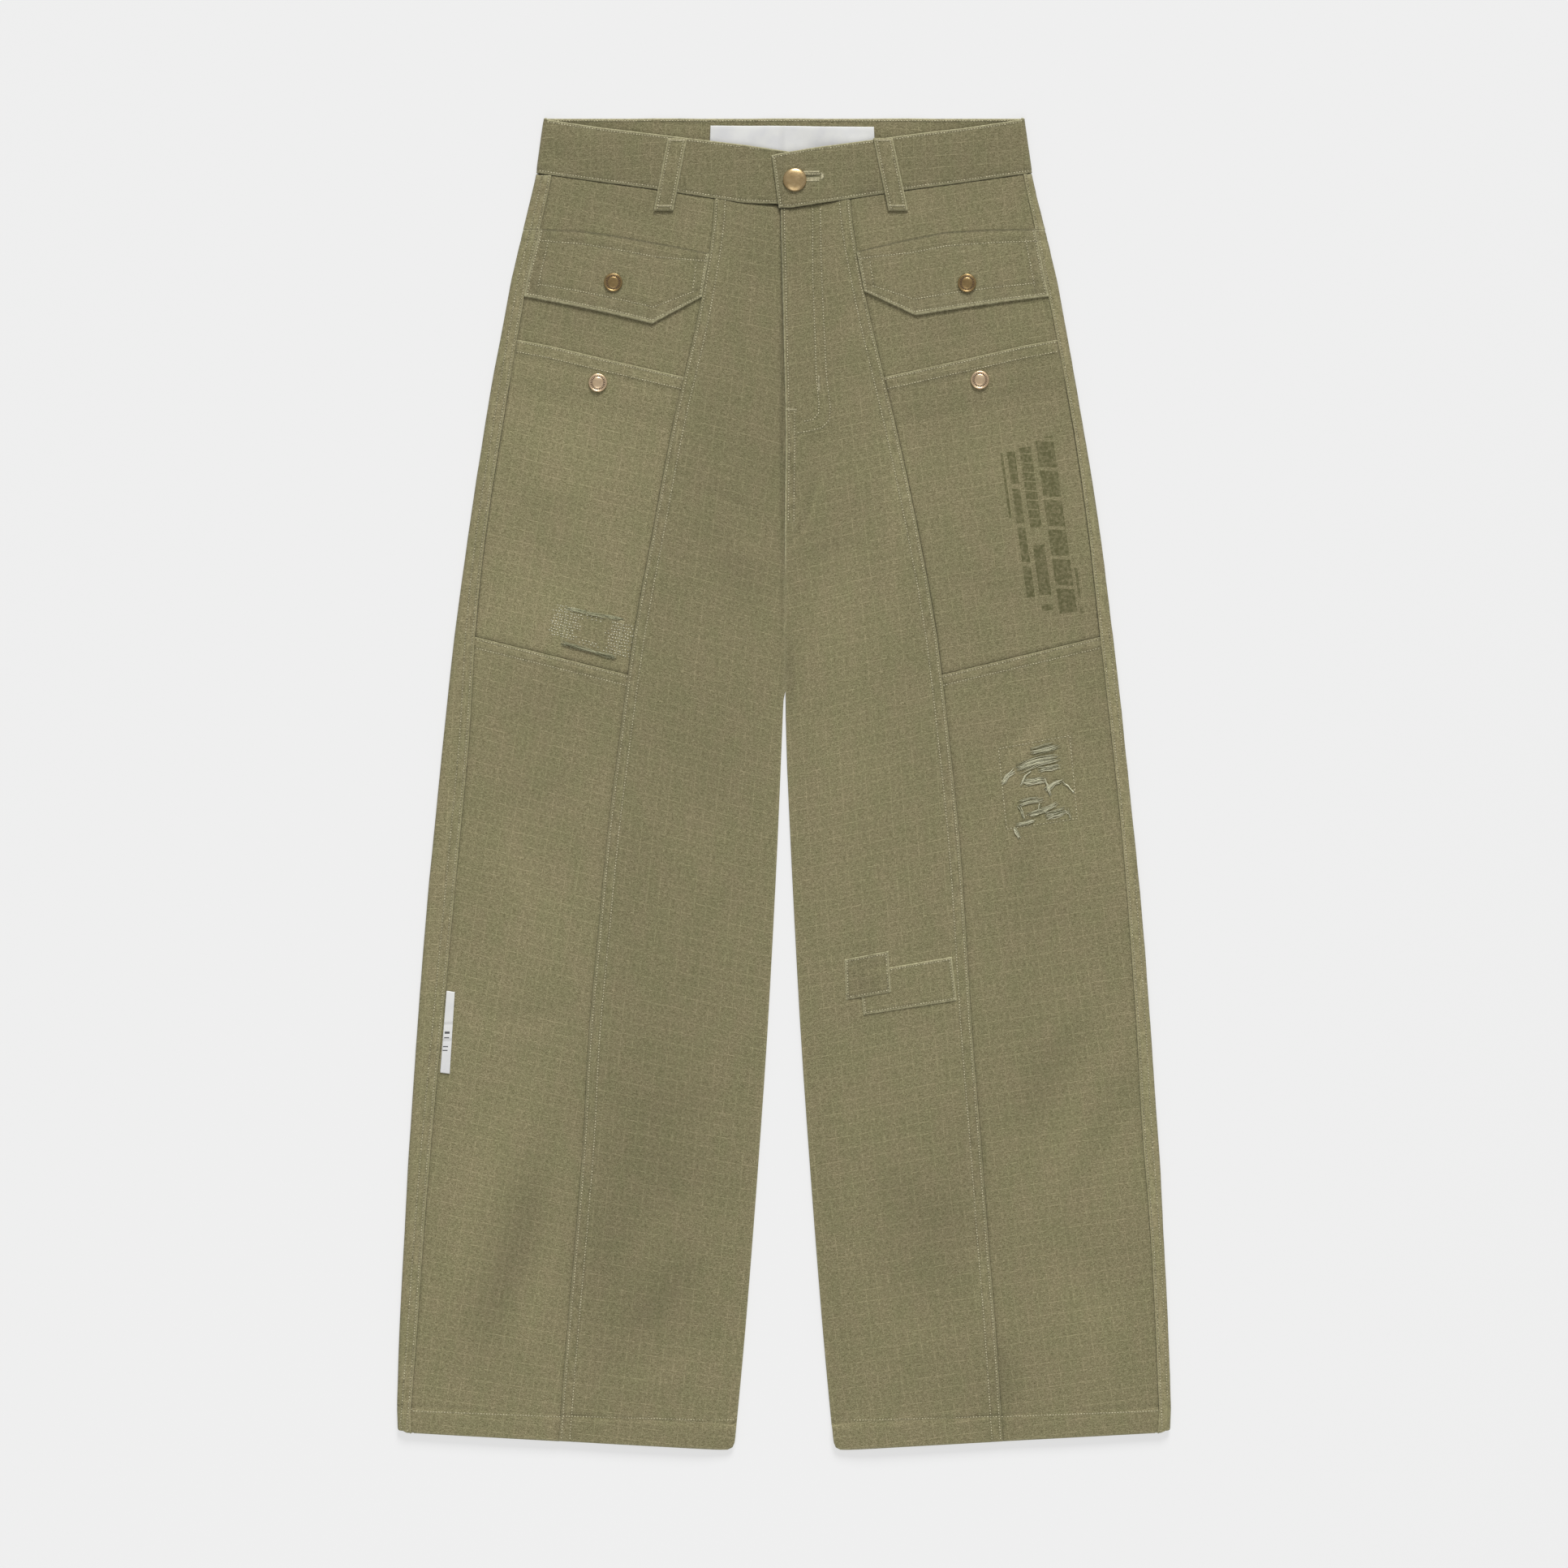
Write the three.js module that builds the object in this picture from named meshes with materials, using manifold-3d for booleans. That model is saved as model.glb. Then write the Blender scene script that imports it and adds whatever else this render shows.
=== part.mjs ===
// Balloon trousers in olive ripstop, laid flat on their back.
// Millimetres. z = 0 is the surface they lie on, +Y runs from the hems to the waist, and +X is the
// wearer's left. The origin is under the middle of the garment's box.
//
// Each leg is a wide barrel tube pressed flat: a back piece that lies on the surface and wraps round
// the outer fold, and front pieces that lie on it. The cloth pieces are walls made from grids of
// points: every point of a piece has an outside and an inside, one wall apart.

import * as THREE from 'three';
import { mergeVertices } from 'three/addons/utils/BufferGeometryUtils.js';
import Module from 'manifold-3d';

// ---------------------------------------------------------------- driving dimensions

const PLY = 1.2;                  // one wall of cloth
const GAP = 0.3;                  // between any two pieces
const SEAM = { thick: 1.8, width: 8.5, ramp: 1.5 };      // a felled edge with its turned allowance
const HEM = { thick: 2.2, depth: 20, ramp: 2, corner: 5 };
const FRONT_LEVEL = 4.2;          // the front's inside face above the surface
const FRONT_TOP = FRONT_LEVEL + PLY;
const CROTCH = { y: 177, ramp: 40, dip: 28 };            // where the two inseams begin
const YOKE = { side: 437, centre: 412 };                 // back yoke seam, height at side and centre
const POCKET_LAP = 22;            // how far the panel above runs on behind the thigh pocket

const BAND = {
  thick: 2.0, level: FRONT_LEVEL, lapLift: 2.3, underEnd: 22,
  overEnd: { top: -9.5, seam: -4 }, centreRise: 0.9,
  fold: { top: 189, seam: 195 }, backTop: 525, backSeam: 482.5,
};
const LOOP = { thick: PLY, width: 15, length: 57, tail: 15 };
const BACK_LOOPS = [-95, 0, 95];
const LABEL_PLY = 1.0;

const BUTTON = { x: 8.5, y: 475.8, radius: 9.2, shank: 1.9, height: 3.1 };
const BUTTONHOLE = { length: 20, halfWidth: 2.3 };
const SNAP = { radius: 7.3, height: 2.0 };

// Levels down the garment, with half widths from the centre line: the outer fold, the side seams and
// princess seams of the wearer's left and right leg, half of the gap between the legs, and the
// centre seam's own small wander.
const LEVELS = [
  { y: 525, fold: 189, sideL: 182, sideR: 179, princessL: 51, princessR: 53, gap: 0, centre: -2.7 },
  { y: 482, fold: 195, sideL: 188.5, sideR: 183, princessL: 51, princessR: 54, gap: 0, centre: -2.7 },
  { y: 440, fold: 205, sideL: 197.5, sideR: 192, princessL: 54, princessR: 56, gap: 0, centre: -2.4 },
  { y: 400, fold: 214.5, sideL: 205.5, sideR: 202, princessL: 61, princessR: 62, gap: 0, centre: -1.4 },
  { y: 360, fold: 222, sideL: 213.5, sideR: 209, princessL: 69.5, princessR: 69.5, gap: 0, centre: -0.4 },
  { y: 280, fold: 236, sideL: 228.5, sideR: 222.5, princessL: 88.5, princessR: 88, gap: 0, centre: 1.3 },
  { y: 200, fold: 248.5, sideL: 240, sideR: 235, princessL: 105.5, princessR: 103, gap: 0, centre: 0.6 },
  { y: 120, fold: 259, sideL: 249, sideR: 243.5, princessL: 120, princessR: 118, gap: 0, centre: 1.2 },
  { y: 40, fold: 268, sideL: 258, sideR: 248, princessL: 129.5, princessR: 129, gap: 1.7, centre: 0 },
  { y: -40, fold: 276, sideL: 266.5, sideR: 255.5, princessL: 138, princessR: 139, gap: 5, centre: 0 },
  { y: -120, fold: 283.5, sideL: 273, sideR: 263, princessL: 143.5, princessR: 146.5, gap: 9, centre: 0 },
  { y: -200, fold: 289.5, sideL: 278.5, sideR: 270.5, princessL: 148.5, princessR: 154, gap: 13.5, centre: 0 },
  { y: -280, fold: 295, sideL: 283, sideR: 278, princessL: 155, princessR: 158, gap: 19, centre: 0 },
  { y: -360, fold: 299.5, sideL: 289.5, sideR: 284.5, princessL: 161, princessR: 164.5, gap: 25, centre: 0 },
  { y: -440, fold: 303.5, sideL: 293.5, sideR: 290, princessL: 167.5, princessR: 171.5, gap: 31.5, centre: 0 },
  { y: -525, fold: 306, sideL: 297, sideR: 297, princessL: 173, princessR: 178, gap: 39.5, centre: 0 },
];

// Front waistband, by distance from the centre line, below 0 where an end laps past it: the top
// edge on the upper end's side, the top edge on the under end's side, and the waist seam.
const WAIST = [
  { s: -22, top: 492.6, underTop: 495.6, seam: 452.3 },
  { s: 0, top: 497.2, underTop: 499.2, seam: 453.3 },
  { s: 25, top: 501.4, underTop: 502.8, seam: 457.2 },
  { s: 50, top: 505, underTop: 506, seam: 461.2 },
  { s: 100, top: 512, underTop: 512, seam: 469 },
  { s: 150, top: 518, underTop: 518, seam: 475.6 },
  { s: 195, top: 525, underTop: 525, seam: 482 },
];

// Seams that cross a leg's side panels, by the share u of the way from princess to side seam.
const POCKET_TOP = [{ u: 0, y: 320.5 }, { u: 0.5, y: 335.5 }, { u: 0.8, y: 345 }, { u: 1, y: 350 }];
const POCKET_FOOT = [{ u: 0, y: 86 }, { u: 1, y: 116 }];
const FLAPS = {
  left: [
    { u: 0, top: 419.5, foot: 388.5 },
    { u: 0.25, top: 428, foot: 369.5 },
    { u: 0.5, top: 435, foot: 375 },
    { u: 0.75, top: 437, foot: 380 },
    { u: 1, top: 437.5, foot: 384.5 },
  ],
  right: [
    { u: 0, top: 418, foot: 384 },
    { u: 0.25, top: 425, foot: 363 },
    { u: 0.5, top: 431, foot: 371 },
    { u: 0.75, top: 436, foot: 378 },
    { u: 1, top: 437.5, foot: 384.5 },
  ],
};

// Hem edge: its height at the outer corner and at the inner one.
const HEM_EDGE = { outerS: 300, outerY: -511.5, innerS: 45, innerY: -525 };

// Patches, corner by corner from the top left, and the two labels.
const KNEE_PATCH_LARGE = [[59, -149], [132, -136.5], [136, -170.5], [63, -182]];
const KNEE_PATCH_SMALL = [[48, -138.5], [82, -132], [84, -164], [49, -170]];
const DARN_PATCH = [[-172, 138], [-125.5, 128.5], [-132.5, 99], [-176, 111]];
const WAIST_LABEL = [[-58, 519.5], [71, 518.5], [72, 492], [-59, 493]];
const SIDE_LABEL = [[-266, -163], [-259.5, -164], [-263.5, -228.5], [-271, -227.5]];

const FLAP_SNAPS = { left: [144.2, 394.6], right: [-134.6, 395.2] };
const POCKET_SNAPS = { left: [154.4, 318.4], right: [-146.7, 316.2] };

// ---------------------------------------------------------------- small maths

const { clamp, lerp, smoothstep } = THREE.MathUtils;

// Linear reading of a table of rows, by one named column.
function read(table, key, at, column) {
  let i = 0;
  while (i < table.length - 2 && table[i + 1][key] < at) i++;
  const [a, b] = [table[i], table[i + 1]];
  return lerp(a[column], b[column], (at - a[key]) / (b[key] - a[key]));
}

// Smooth reading of LEVELS at any height, so that the seams and folds are fair curves.
function level(column, y) {
  let i = 0;
  while (i < LEVELS.length - 2 && LEVELS[i + 1].y > y) i++;
  const [a, b, c, d] = [-1, 0, 1, 2].map((k) => LEVELS[clamp(i + k, 0, LEVELS.length - 1)]);
  const step = c.y - b.y;
  const t = (y - b.y) / step;
  const slopeB = ((c[column] - a[column]) / (c.y - a.y)) * step;
  const slopeC = ((d[column] - b[column]) / (d.y - b.y)) * step;
  const rise = c[column] - b[column];
  const bend = t * (1 - t) * ((1 - t) * (slopeB - rise) - t * (slopeC - rise));
  return b[column] + t * rise + bend;
}

// 1 inside the distance `full`, fading to 0 at `none`.
const bump = (distance, full, none) => 1 - smoothstep(Math.abs(distance), full, none);

const SIDES = {
  left: { name: 'left', sign: 1, side: 'sideL', princess: 'princessL' },
  right: { name: 'right', sign: -1, side: 'sideR', princess: 'princessR' },
};

// ---------------------------------------------------------------- edges in plan

// Distance from the centre line to a leg's inner edge: the centre seam, then the inseam.
const inner = (leg, y) => GAP / 2 + level('gap', y) + leg.sign * level('centre', y);
const princess = (leg, y) => level(leg.princess, y);
const side = (leg, y, corner = 0) => level(leg.side, y) - 3 * corner;
const hemY = (s) => {
  const share = clamp((HEM_EDGE.outerS - s) / (HEM_EDGE.outerS - HEM_EDGE.innerS), 0, 1);
  return lerp(HEM_EDGE.outerY, HEM_EDGE.innerY, share);
};
const waistSeam = (s) => read(WAIST, 's', Math.abs(s), 'seam');

// ---------------------------------------------------------------- heights

// The back is lifted a little where its belt loops lie under it.
function loopLift(x, y) {
  const across = Math.max(...BACK_LOOPS.map((loop) => bump(x - loop, LOOP.width / 2 + 2, 24)));
  const along = smoothstep(y, BAND.backSeam - LOOP.tail - 22, BAND.backSeam - LOOP.tail - 4);
  return (LOOP.thick + GAP) * across * along;
}

const backWall = (hemmed) => (hemmed ? HEM.thick : PLY);

// Inside face of the front: level, down to the back at the inseams, up to the band at the centre.
function frontInside(leg, s, y, hemmed = false) {
  const nearWaist = smoothstep(y, 380, 450);
  const overFly = leg.name === 'left' ? bump(s, 18, 42) : 0;
  const raised = FRONT_LEVEL + nearWaist * (BAND.centreRise * bump(s, 35, 75) + overFly);
  const onBack = backWall(hemmed) + GAP;
  const legs = 1 - smoothstep(y, CROTCH.y - CROTCH.ramp, CROTCH.y);
  const towardsInseam = legs * bump(s - inner(leg, y), 0, CROTCH.dip);
  return lerp(raised, onBack, towardsInseam);
}

// Inside face of the front band, before the lap at the fastening.
const bandInside = (x) => BAND.level + BAND.centreRise * bump(x, 35, 75);

// ---------------------------------------------------------------- meshes

const OLIVE = 0x827b5d;
const LABEL_WHITE = 0xe9e7df;
const BRASS = 0xc9a765;

const cloth = () => new THREE.MeshStandardMaterial({ color: OLIVE, roughness: 0.92, metalness: 0 });
const satin = () => new THREE.MeshStandardMaterial({ color: LABEL_WHITE, roughness: 0.5, metalness: 0 });
const brass = () => new THREE.MeshStandardMaterial({ color: BRASS, roughness: 0.32, metalness: 1 });

const garment = new THREE.Group();

function add(name, geometry, material) {
  const mesh = new THREE.Mesh(geometry, material);
  mesh.name = name;
  garment.add(mesh);
  return mesh;
}

// A wall of cloth. place(column, row) gives its [outside, inside] points, and the four edges close it.
function wallGeometry(columns, rows, place) {
  const across = columns.length;
  const count = across * rows.length;
  const points = [[], []];
  for (const row of rows) {
    for (const column of columns) {
      const [outside, inside] = place(column, row);
      points[0].push(outside);
      points[1].push(inside);
    }
  }
  const at = (face, c, r) => face * count + r * across + c;
  const triangles = [];
  const quad = (a, b, c, d) => triangles.push([a, b, c], [a, c, d]);
  for (let r = 0; r < rows.length - 1; r++) {
    for (let c = 0; c < across - 1; c++) {
      quad(at(0, c, r), at(0, c, r + 1), at(0, c + 1, r + 1), at(0, c + 1, r));
      quad(at(1, c, r), at(1, c + 1, r), at(1, c + 1, r + 1), at(1, c, r + 1));
    }
  }
  const edge = (c0, r0, c1, r1) => quad(at(0, c0, r0), at(0, c1, r1), at(1, c1, r1), at(1, c0, r0));
  const [lastC, lastR] = [across - 1, rows.length - 1];
  for (let c = 0; c < lastC; c++) {
    edge(c, 0, c + 1, 0);
    edge(c + 1, lastR, c, lastR);
  }
  for (let r = 0; r < lastR; r++) {
    edge(0, r + 1, 0, r);
    edge(lastC, r, lastC, r + 1);
  }
  const vertices = points.flat();
  if (signedVolume(vertices, triangles) < 0) triangles.forEach((t) => t.reverse());
  const geometry = new THREE.BufferGeometry();
  geometry.setAttribute('position', new THREE.Float32BufferAttribute(vertices.flat(), 3));
  geometry.setIndex(triangles.flat());
  geometry.computeVertexNormals();
  return geometry;
}

function signedVolume(vertices, triangles) {
  const [a, b, c] = [new THREE.Vector3(), new THREE.Vector3(), new THREE.Vector3()];
  return triangles.reduce((sum, t) => {
    a.fromArray(vertices[t[0]]);
    b.fromArray(vertices[t[1]]);
    c.fromArray(vertices[t[2]]);
    return sum + a.dot(b.cross(c)) / 6;
  }, 0);
}

const steps = (from, to, count) => Array.from({ length: count + 1 }, (_, i) => lerp(from, to, i / count));

// Rows down a piece: shares of the way to its foot, then, on a hemmed piece, the hem's own rows.
// Long seams have a row about every 40 mm, so that both pieces follow the same curve.
const plainRow = (v) => ({ v, drop: 0, corner: 0, hemmed: false });
const rowsTo = (count) => steps(0, 1, count).map(plainRow);
const HEM_ROWS = [
  { v: 1, drop: HEM.ramp, corner: 0, hemmed: true },
  { v: 1, drop: HEM.depth - HEM.corner - 1, corner: 0, hemmed: true },
  { v: 1, drop: HEM.depth - HEM.corner / 3, corner: 0.3, hemmed: true },
  { v: 1, drop: HEM.depth, corner: 1, hemmed: true },
];
const rowY = (row, top, foot) => lerp(top, foot, row.v) - row.drop;

// ---------------------------------------------------------------- back: yokes and panels

// Both wrap the outer fold: across the back, round the fold, and on top as far as the side seam.
// The yoke has extra columns at its belt loops.
const wrapColumns = (flats) => [
  ...flats.map((flat) => ({ flat })),
  ...[60, 120, 180].map((turn) => ({ turn })),
  { strip: 1 },
];
const PANEL_COLUMNS = wrapColumns([0, 1]);
const YOKE_COLUMNS = wrapColumns([0, 11, 25, 70, 84, 106, 120, 192].map((s) => s / 192));

function backPoint(leg, column, y, row) {
  const wall = backWall(row.hemmed);
  const stripWall = row.hemmed ? HEM.thick : SEAM.thick;
  const inset = row.corner * HEM.corner;
  const inside = FRONT_LEVEL;
  const top = inside + (row.hemmed ? HEM.thick : PLY);
  const radius = top / 2;
  const foldS = level('fold', y) - inset - radius;
  const seamS = side(leg, y, row.corner) + GAP / 2;
  if ('flat' in column) {
    const start = inner(leg, y) + inset;
    const s = lerp(start, foldS, column.flat);
    const x = leg.sign * s;
    const lift = loopLift(x, y);
    return [[x, y, lift], [x, y, lift + wall]];
  }
  if ('turn' in column) {
    const angle = THREE.MathUtils.degToRad(column.turn - 90);
    const innerRadius = (inside - wall) / 2;
    const outerX = foldS + radius * Math.cos(angle);
    const innerX = foldS + innerRadius * Math.cos(angle);
    const outerZ = radius + radius * Math.sin(angle);
    const innerZ = wall + innerRadius + innerRadius * Math.sin(angle);
    return [[leg.sign * outerX, y, outerZ], [leg.sign * innerX, y, innerZ]];
  }
  const x = leg.sign * lerp(foldS, seamS, column.strip);
  return [[x, y, inside + stripWall], [x, y, inside]];
}

// How far a column stands from the side, for seams that slope across the back.
const flatShare = (column) => ('flat' in column ? column.flat : 1);

for (const leg of Object.values(SIDES)) {
  const yokeSeam = (column) => lerp(YOKE.centre, YOKE.side, flatShare(column));
  const stripTop = waistSeam(side(leg, 481)) - GAP;
  const yokeTop = (column) => {
    if ('strip' in column) return stripTop;
    return lerp(BAND.backSeam - GAP, stripTop, Math.min((column.turn ?? 0) / 90, 1));
  };

  add(`back_yoke_${leg.name}`, wallGeometry(YOKE_COLUMNS, rowsTo(8), (column, row) => {
    const y = rowY(row, yokeTop(column), yokeSeam(column) + GAP / 2);
    return backPoint(leg, column, y, row);
  }), cloth());

  add(`back_panel_${leg.name}`, wallGeometry(PANEL_COLUMNS, [...rowsTo(23), ...HEM_ROWS], (column, row) => {
    const share = flatShare(column);
    const s = lerp(HEM_EDGE.innerS, HEM_EDGE.outerS, share);
    const y = rowY(row, yokeSeam(column) - GAP / 2, hemY(s) + HEM.depth);
    return backPoint(leg, column, y, row);
  }), cloth());
}

// ---------------------------------------------------------------- front centre panels

// Columns by distance in from either edge, so that the felled edges stay even.
const FRONT_COLUMNS = [
  { share: 0, offset: 0, centreSeam: true }, { share: 0, offset: 5, centreSeam: true },
  ...[7, 17, CROTCH.dip].map((offset) => ({ share: 0, offset })),
  { share: 1, offset: -SEAM.width - SEAM.ramp },
  { share: 1, offset: -SEAM.width, princessSeam: true }, { share: 1, offset: 0, princessSeam: true },
];

const centreRows = [...steps(0, 0.2, 10), ...steps(0.24, 1, 19)].map(plainRow);
for (const leg of Object.values(SIDES)) {
  const across = (column, y) => lerp(inner(leg, y), princess(leg, y), column.share) + column.offset;
  add(`front_centre_${leg.name}`, wallGeometry(FRONT_COLUMNS, [...centreRows, ...HEM_ROWS], (column, row) => {
    const top = waistSeam(across(column, 460)) - GAP;
    const foot = hemY(across(column, -520)) + HEM.depth;
    const y = rowY(row, top, foot);
    const start = inner(leg, y) + row.corner * HEM.corner;
    const end = princess(leg, y) - GAP / 2;
    const s = lerp(start, end, column.share) + column.offset;
    const lapped = column.princessSeam || (column.centreSeam && leg.name === 'left' && y > CROTCH.y);
    const wall = row.hemmed ? HEM.thick : (lapped ? SEAM.thick : PLY);
    const inside = frontInside(leg, s, y, row.hemmed);
    return [[leg.sign * s, y, inside + wall], [leg.sign * s, y, inside]];
  }), cloth());
}

// ---------------------------------------------------------------- side panels, pockets and flaps

// A point of a side piece: u of the way from the princess seam to the side seam, at height y.
const sideX = (leg, u, y, corner = 0) => (
  leg.sign * lerp(princess(leg, y) + GAP / 2, side(leg, y, corner) - GAP / 2, u)
);
const pocketTop = (u) => read(POCKET_TOP, 'u', u, 'y');
const pocketFoot = (u) => read(POCKET_FOOT, 'u', u, 'y');
const SIDE_COLUMNS = [0, 0.15, 0.5, 0.8, 1];

for (const leg of Object.values(SIDES)) {
  const wallAt = (u, y, inside, wall, corner) => {
    const x = sideX(leg, u, y, corner);
    return [[x, y, inside + wall], [x, y, inside]];
  };

  // From the waistband down behind the thigh pocket's top edge.
  add(`side_upper_${leg.name}`, wallGeometry(SIDE_COLUMNS, rowsTo(8), (u, row) => {
    const seamS = lerp(princess(leg, 464), side(leg, 481), u);
    const y = rowY(row, waistSeam(seamS) - GAP, pocketTop(u) - POCKET_LAP);
    return wallAt(u, y, frontInside(leg, Math.abs(sideX(leg, u, y)), y), PLY);
  }), cloth());

  // The pocket's hemmed top edge lies over it, and further down the pocket lies level with it.
  const pocketRows = [
    { below: 0, wall: HEM.thick }, { below: 9, wall: HEM.thick }, { below: 10.5, wall: PLY },
    { below: POCKET_LAP + 2, wall: PLY }, { below: POCKET_LAP + 16, wall: PLY },
    ...steps(0.35, 1, 5).map((v) => ({ v, wall: PLY })),
  ];
  add(`thigh_pocket_${leg.name}`, wallGeometry(SIDE_COLUMNS, pocketRows, (u, row) => {
    const [top, foot] = [pocketTop(u), pocketFoot(u) + GAP / 2];
    const y = row.v ? lerp(top, foot, row.v) : top - row.below;
    const lift = (PLY + GAP) * bump(top - y, POCKET_LAP + 2, POCKET_LAP + 15);
    return wallAt(u, y, FRONT_LEVEL + lift, row.wall);
  }), cloth());

  // The lower side panel, felled over the pocket's foot and hemmed below.
  const lowerRows = [
    { v: 0, drop: 0, felled: true }, { v: 0, drop: SEAM.width, felled: true },
    { v: 0, drop: SEAM.width + SEAM.ramp }, ...steps(1 / 15, 1, 14).map((v) => ({ v, drop: 0 })),
    ...HEM_ROWS,
  ];
  add(`side_lower_${leg.name}`, wallGeometry([0, 0.5, 1], lowerRows, (u, row) => {
    const foot = hemY(lerp(175, 297, u)) + HEM.depth;
    const y = rowY(row, pocketFoot(u) - GAP / 2, foot);
    const wall = row.hemmed ? HEM.thick : (row.felled ? SEAM.thick : PLY);
    return wallAt(u, y, FRONT_LEVEL, wall, row.corner);
  }), cloth());

  // The pointed flap, two plies, over the upper panel.
  const flap = FLAPS[leg.name];
  const flapColumns = [0, 0.12, 0.25, 0.5, 0.75, 1];
  add(`pocket_flap_${leg.name}`, wallGeometry(flapColumns, rowsTo(4), (u, row) => {
    const y = rowY(row, read(flap, 'u', u, 'top'), read(flap, 'u', u, 'foot'));
    const inside = frontInside(leg, Math.abs(sideX(leg, u, y)), y) + PLY + GAP;
    return wallAt(u, y, inside, SEAM.thick);
  }), cloth());
}

// ---------------------------------------------------------------- waistband

// One strip round the waist: from its lower end at the fastening over the wearer's right front,
// round the fold, across the back, round the other fold, and over the left front to the upper end.
const BAND_TOP_Z = BAND.level + BAND.thick;
const BAND_RADIUS = BAND_TOP_Z / 2;
const bandFold = (h) => lerp(BAND.fold.top, BAND.fold.seam, h) - BAND_RADIUS;
const bandNominal = BAND.fold.seam - BAND_RADIUS;
const foldTurns = [30, 60, 90, 120, 150];
const BAND_STATIONS = [
  ...steps(0, 0.5, 2).map((share) => ({ front: -1, share })),
  ...steps(0.6, 1, 4).map((share) => ({ front: -1, share })),
  ...foldTurns.map((turn) => ({ fold: -1, turn })),
  ...[-1, -0.63, -0.555, -0.44, -0.365, -0.13, -0.058].map((share) => ({ back: share })),
  ...[0.058, 0.13, 0.365, 0.44, 0.555, 0.63, 1].map((share) => ({ back: share })),
  ...foldTurns.toReversed().map((turn) => ({ fold: 1, turn })),
  ...steps(1, 0.4, 6).map((share) => ({ front: 1, share })),
  ...steps(0.3, 0, 6).map((share) => ({ front: 1, share })),
];

function bandPoint(station, h) {
  if ('fold' in station) {
    const angle = THREE.MathUtils.degToRad(90 - station.turn);
    const y = lerp(read(WAIST, 's', BAND.fold.seam, 'top'), waistSeam(BAND.fold.seam), h);
    const innerRadius = (BAND.level - BAND.thick) / 2;
    const at = (radius) => [
      station.fold * (bandFold(h) + radius * Math.cos(angle)), y, BAND_RADIUS + radius * Math.sin(angle),
    ];
    return [at(BAND_RADIUS), at(innerRadius)];
  }
  if ('back' in station) {
    const x = station.back * bandFold(h);
    const y = lerp(BAND.backTop, BAND.backSeam, h);
    const lift = loopLift(x, y);
    return [[x, y, lift], [x, y, lift + BAND.thick]];
  }
  const over = station.front === 1;
  const endX = over ? lerp(BAND.overEnd.top, BAND.overEnd.seam, h) : BAND.underEnd;
  const x = lerp(endX, station.front * bandFold(h), station.share);
  const lap = over ? BAND.lapLift * bump(x, BAND.underEnd + 4, BAND.underEnd + 26) : 0;
  const z = bandInside(x) + lap;
  const top = read(WAIST, 's', station.front * x, over ? 'top' : 'underTop');
  const y = lerp(top, waistSeam(x), h);
  return [[x, y, z + BAND.thick], [x, y, z]];
}

const wasm = await Module();
wasm.setup();

function toSolid(geometry) {
  const bare = geometry.clone();
  bare.deleteAttribute('normal');
  bare.deleteAttribute('uv');
  const merged = mergeVertices(bare);
  return new wasm.Manifold(new wasm.Mesh({
    numProp: 3,
    vertProperties: new Float32Array(merged.attributes.position.array),
    triVerts: new Uint32Array(merged.index.array),
  }));
}

function toGeometry(solid) {
  const { vertProperties, triVerts } = solid.getMesh();
  const geometry = new THREE.BufferGeometry();
  geometry.setAttribute('position', new THREE.BufferAttribute(vertProperties, 3));
  geometry.setIndex(new THREE.BufferAttribute(triVerts, 1));
  geometry.computeVertexNormals();
  return geometry;
}

const lapTop = BAND.level + BAND.centreRise + BAND.lapLift + BAND.thick;
const underTop = BAND.level + BAND.centreRise + BAND.thick;

// The buttonhole: a slot with round ends through the upper end only.
const slot = new THREE.Shape();
slot.absarc(0, 0, BUTTONHOLE.halfWidth, Math.PI / 2, (3 * Math.PI) / 2);
slot.absarc(BUTTONHOLE.length, 0, BUTTONHOLE.halfWidth, -Math.PI / 2, Math.PI / 2);
const slotDepth = lapTop - underTop + 2;
const slotCutter = new THREE.ExtrudeGeometry(slot, { depth: slotDepth, bevelEnabled: false, curveSegments: 6 });
slotCutter.translate(BUTTON.x, BUTTON.y, underTop + GAP / 2);

const band = wallGeometry(BAND_STATIONS, [0, 0.5, 1], (station, h) => bandPoint(station, h));
add('waistband', toGeometry(toSolid(band).subtract(toSolid(slotCutter))), cloth());

// ---------------------------------------------------------------- belt loops

// A loop across the band, its foot sewn to the panel below the waist seam. `heights` are its
// underside over the band and over the panel.
function beltLoop(name, top, foot, heights) {
  const rows = [
    { along: 0, z: heights.band }, { along: (LOOP.length - LOOP.tail - 4) / LOOP.length, z: heights.band },
    { along: (LOOP.length - LOOP.tail + 5) / LOOP.length, z: heights.panel }, { along: 1, z: heights.panel },
  ];
  const across = [-1, -0.5, 0.5, 1];
  add(name, wallGeometry(across, rows, (share, row) => {
    const x = lerp(top[0], foot[0], row.along) + (share * LOOP.width) / 2;
    const y = lerp(top[1], foot[1], row.along);
    return [[x, y, row.z + LOOP.thick], [x, y, row.z]];
  }), cloth());
}

const onFront = { band: BAND_TOP_Z + GAP, panel: BAND_TOP_Z + GAP };
beltLoop('belt_loop_front_left', [78, 509], [90, 452], onFront);
beltLoop('belt_loop_front_right', [-84, 509], [-95, 452], onFront);

const onFloor = { band: 0, panel: 0 };
const backLoopNames = ['belt_loop_back_right', 'belt_loop_back_centre', 'belt_loop_back_left'];
BACK_LOOPS.forEach((x, i) => {
  const foot = BAND.backSeam - LOOP.tail;
  beltLoop(backLoopNames[i], [x, foot + LOOP.length], [x, foot], onFloor);
});

// ---------------------------------------------------------------- patches and labels

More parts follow.
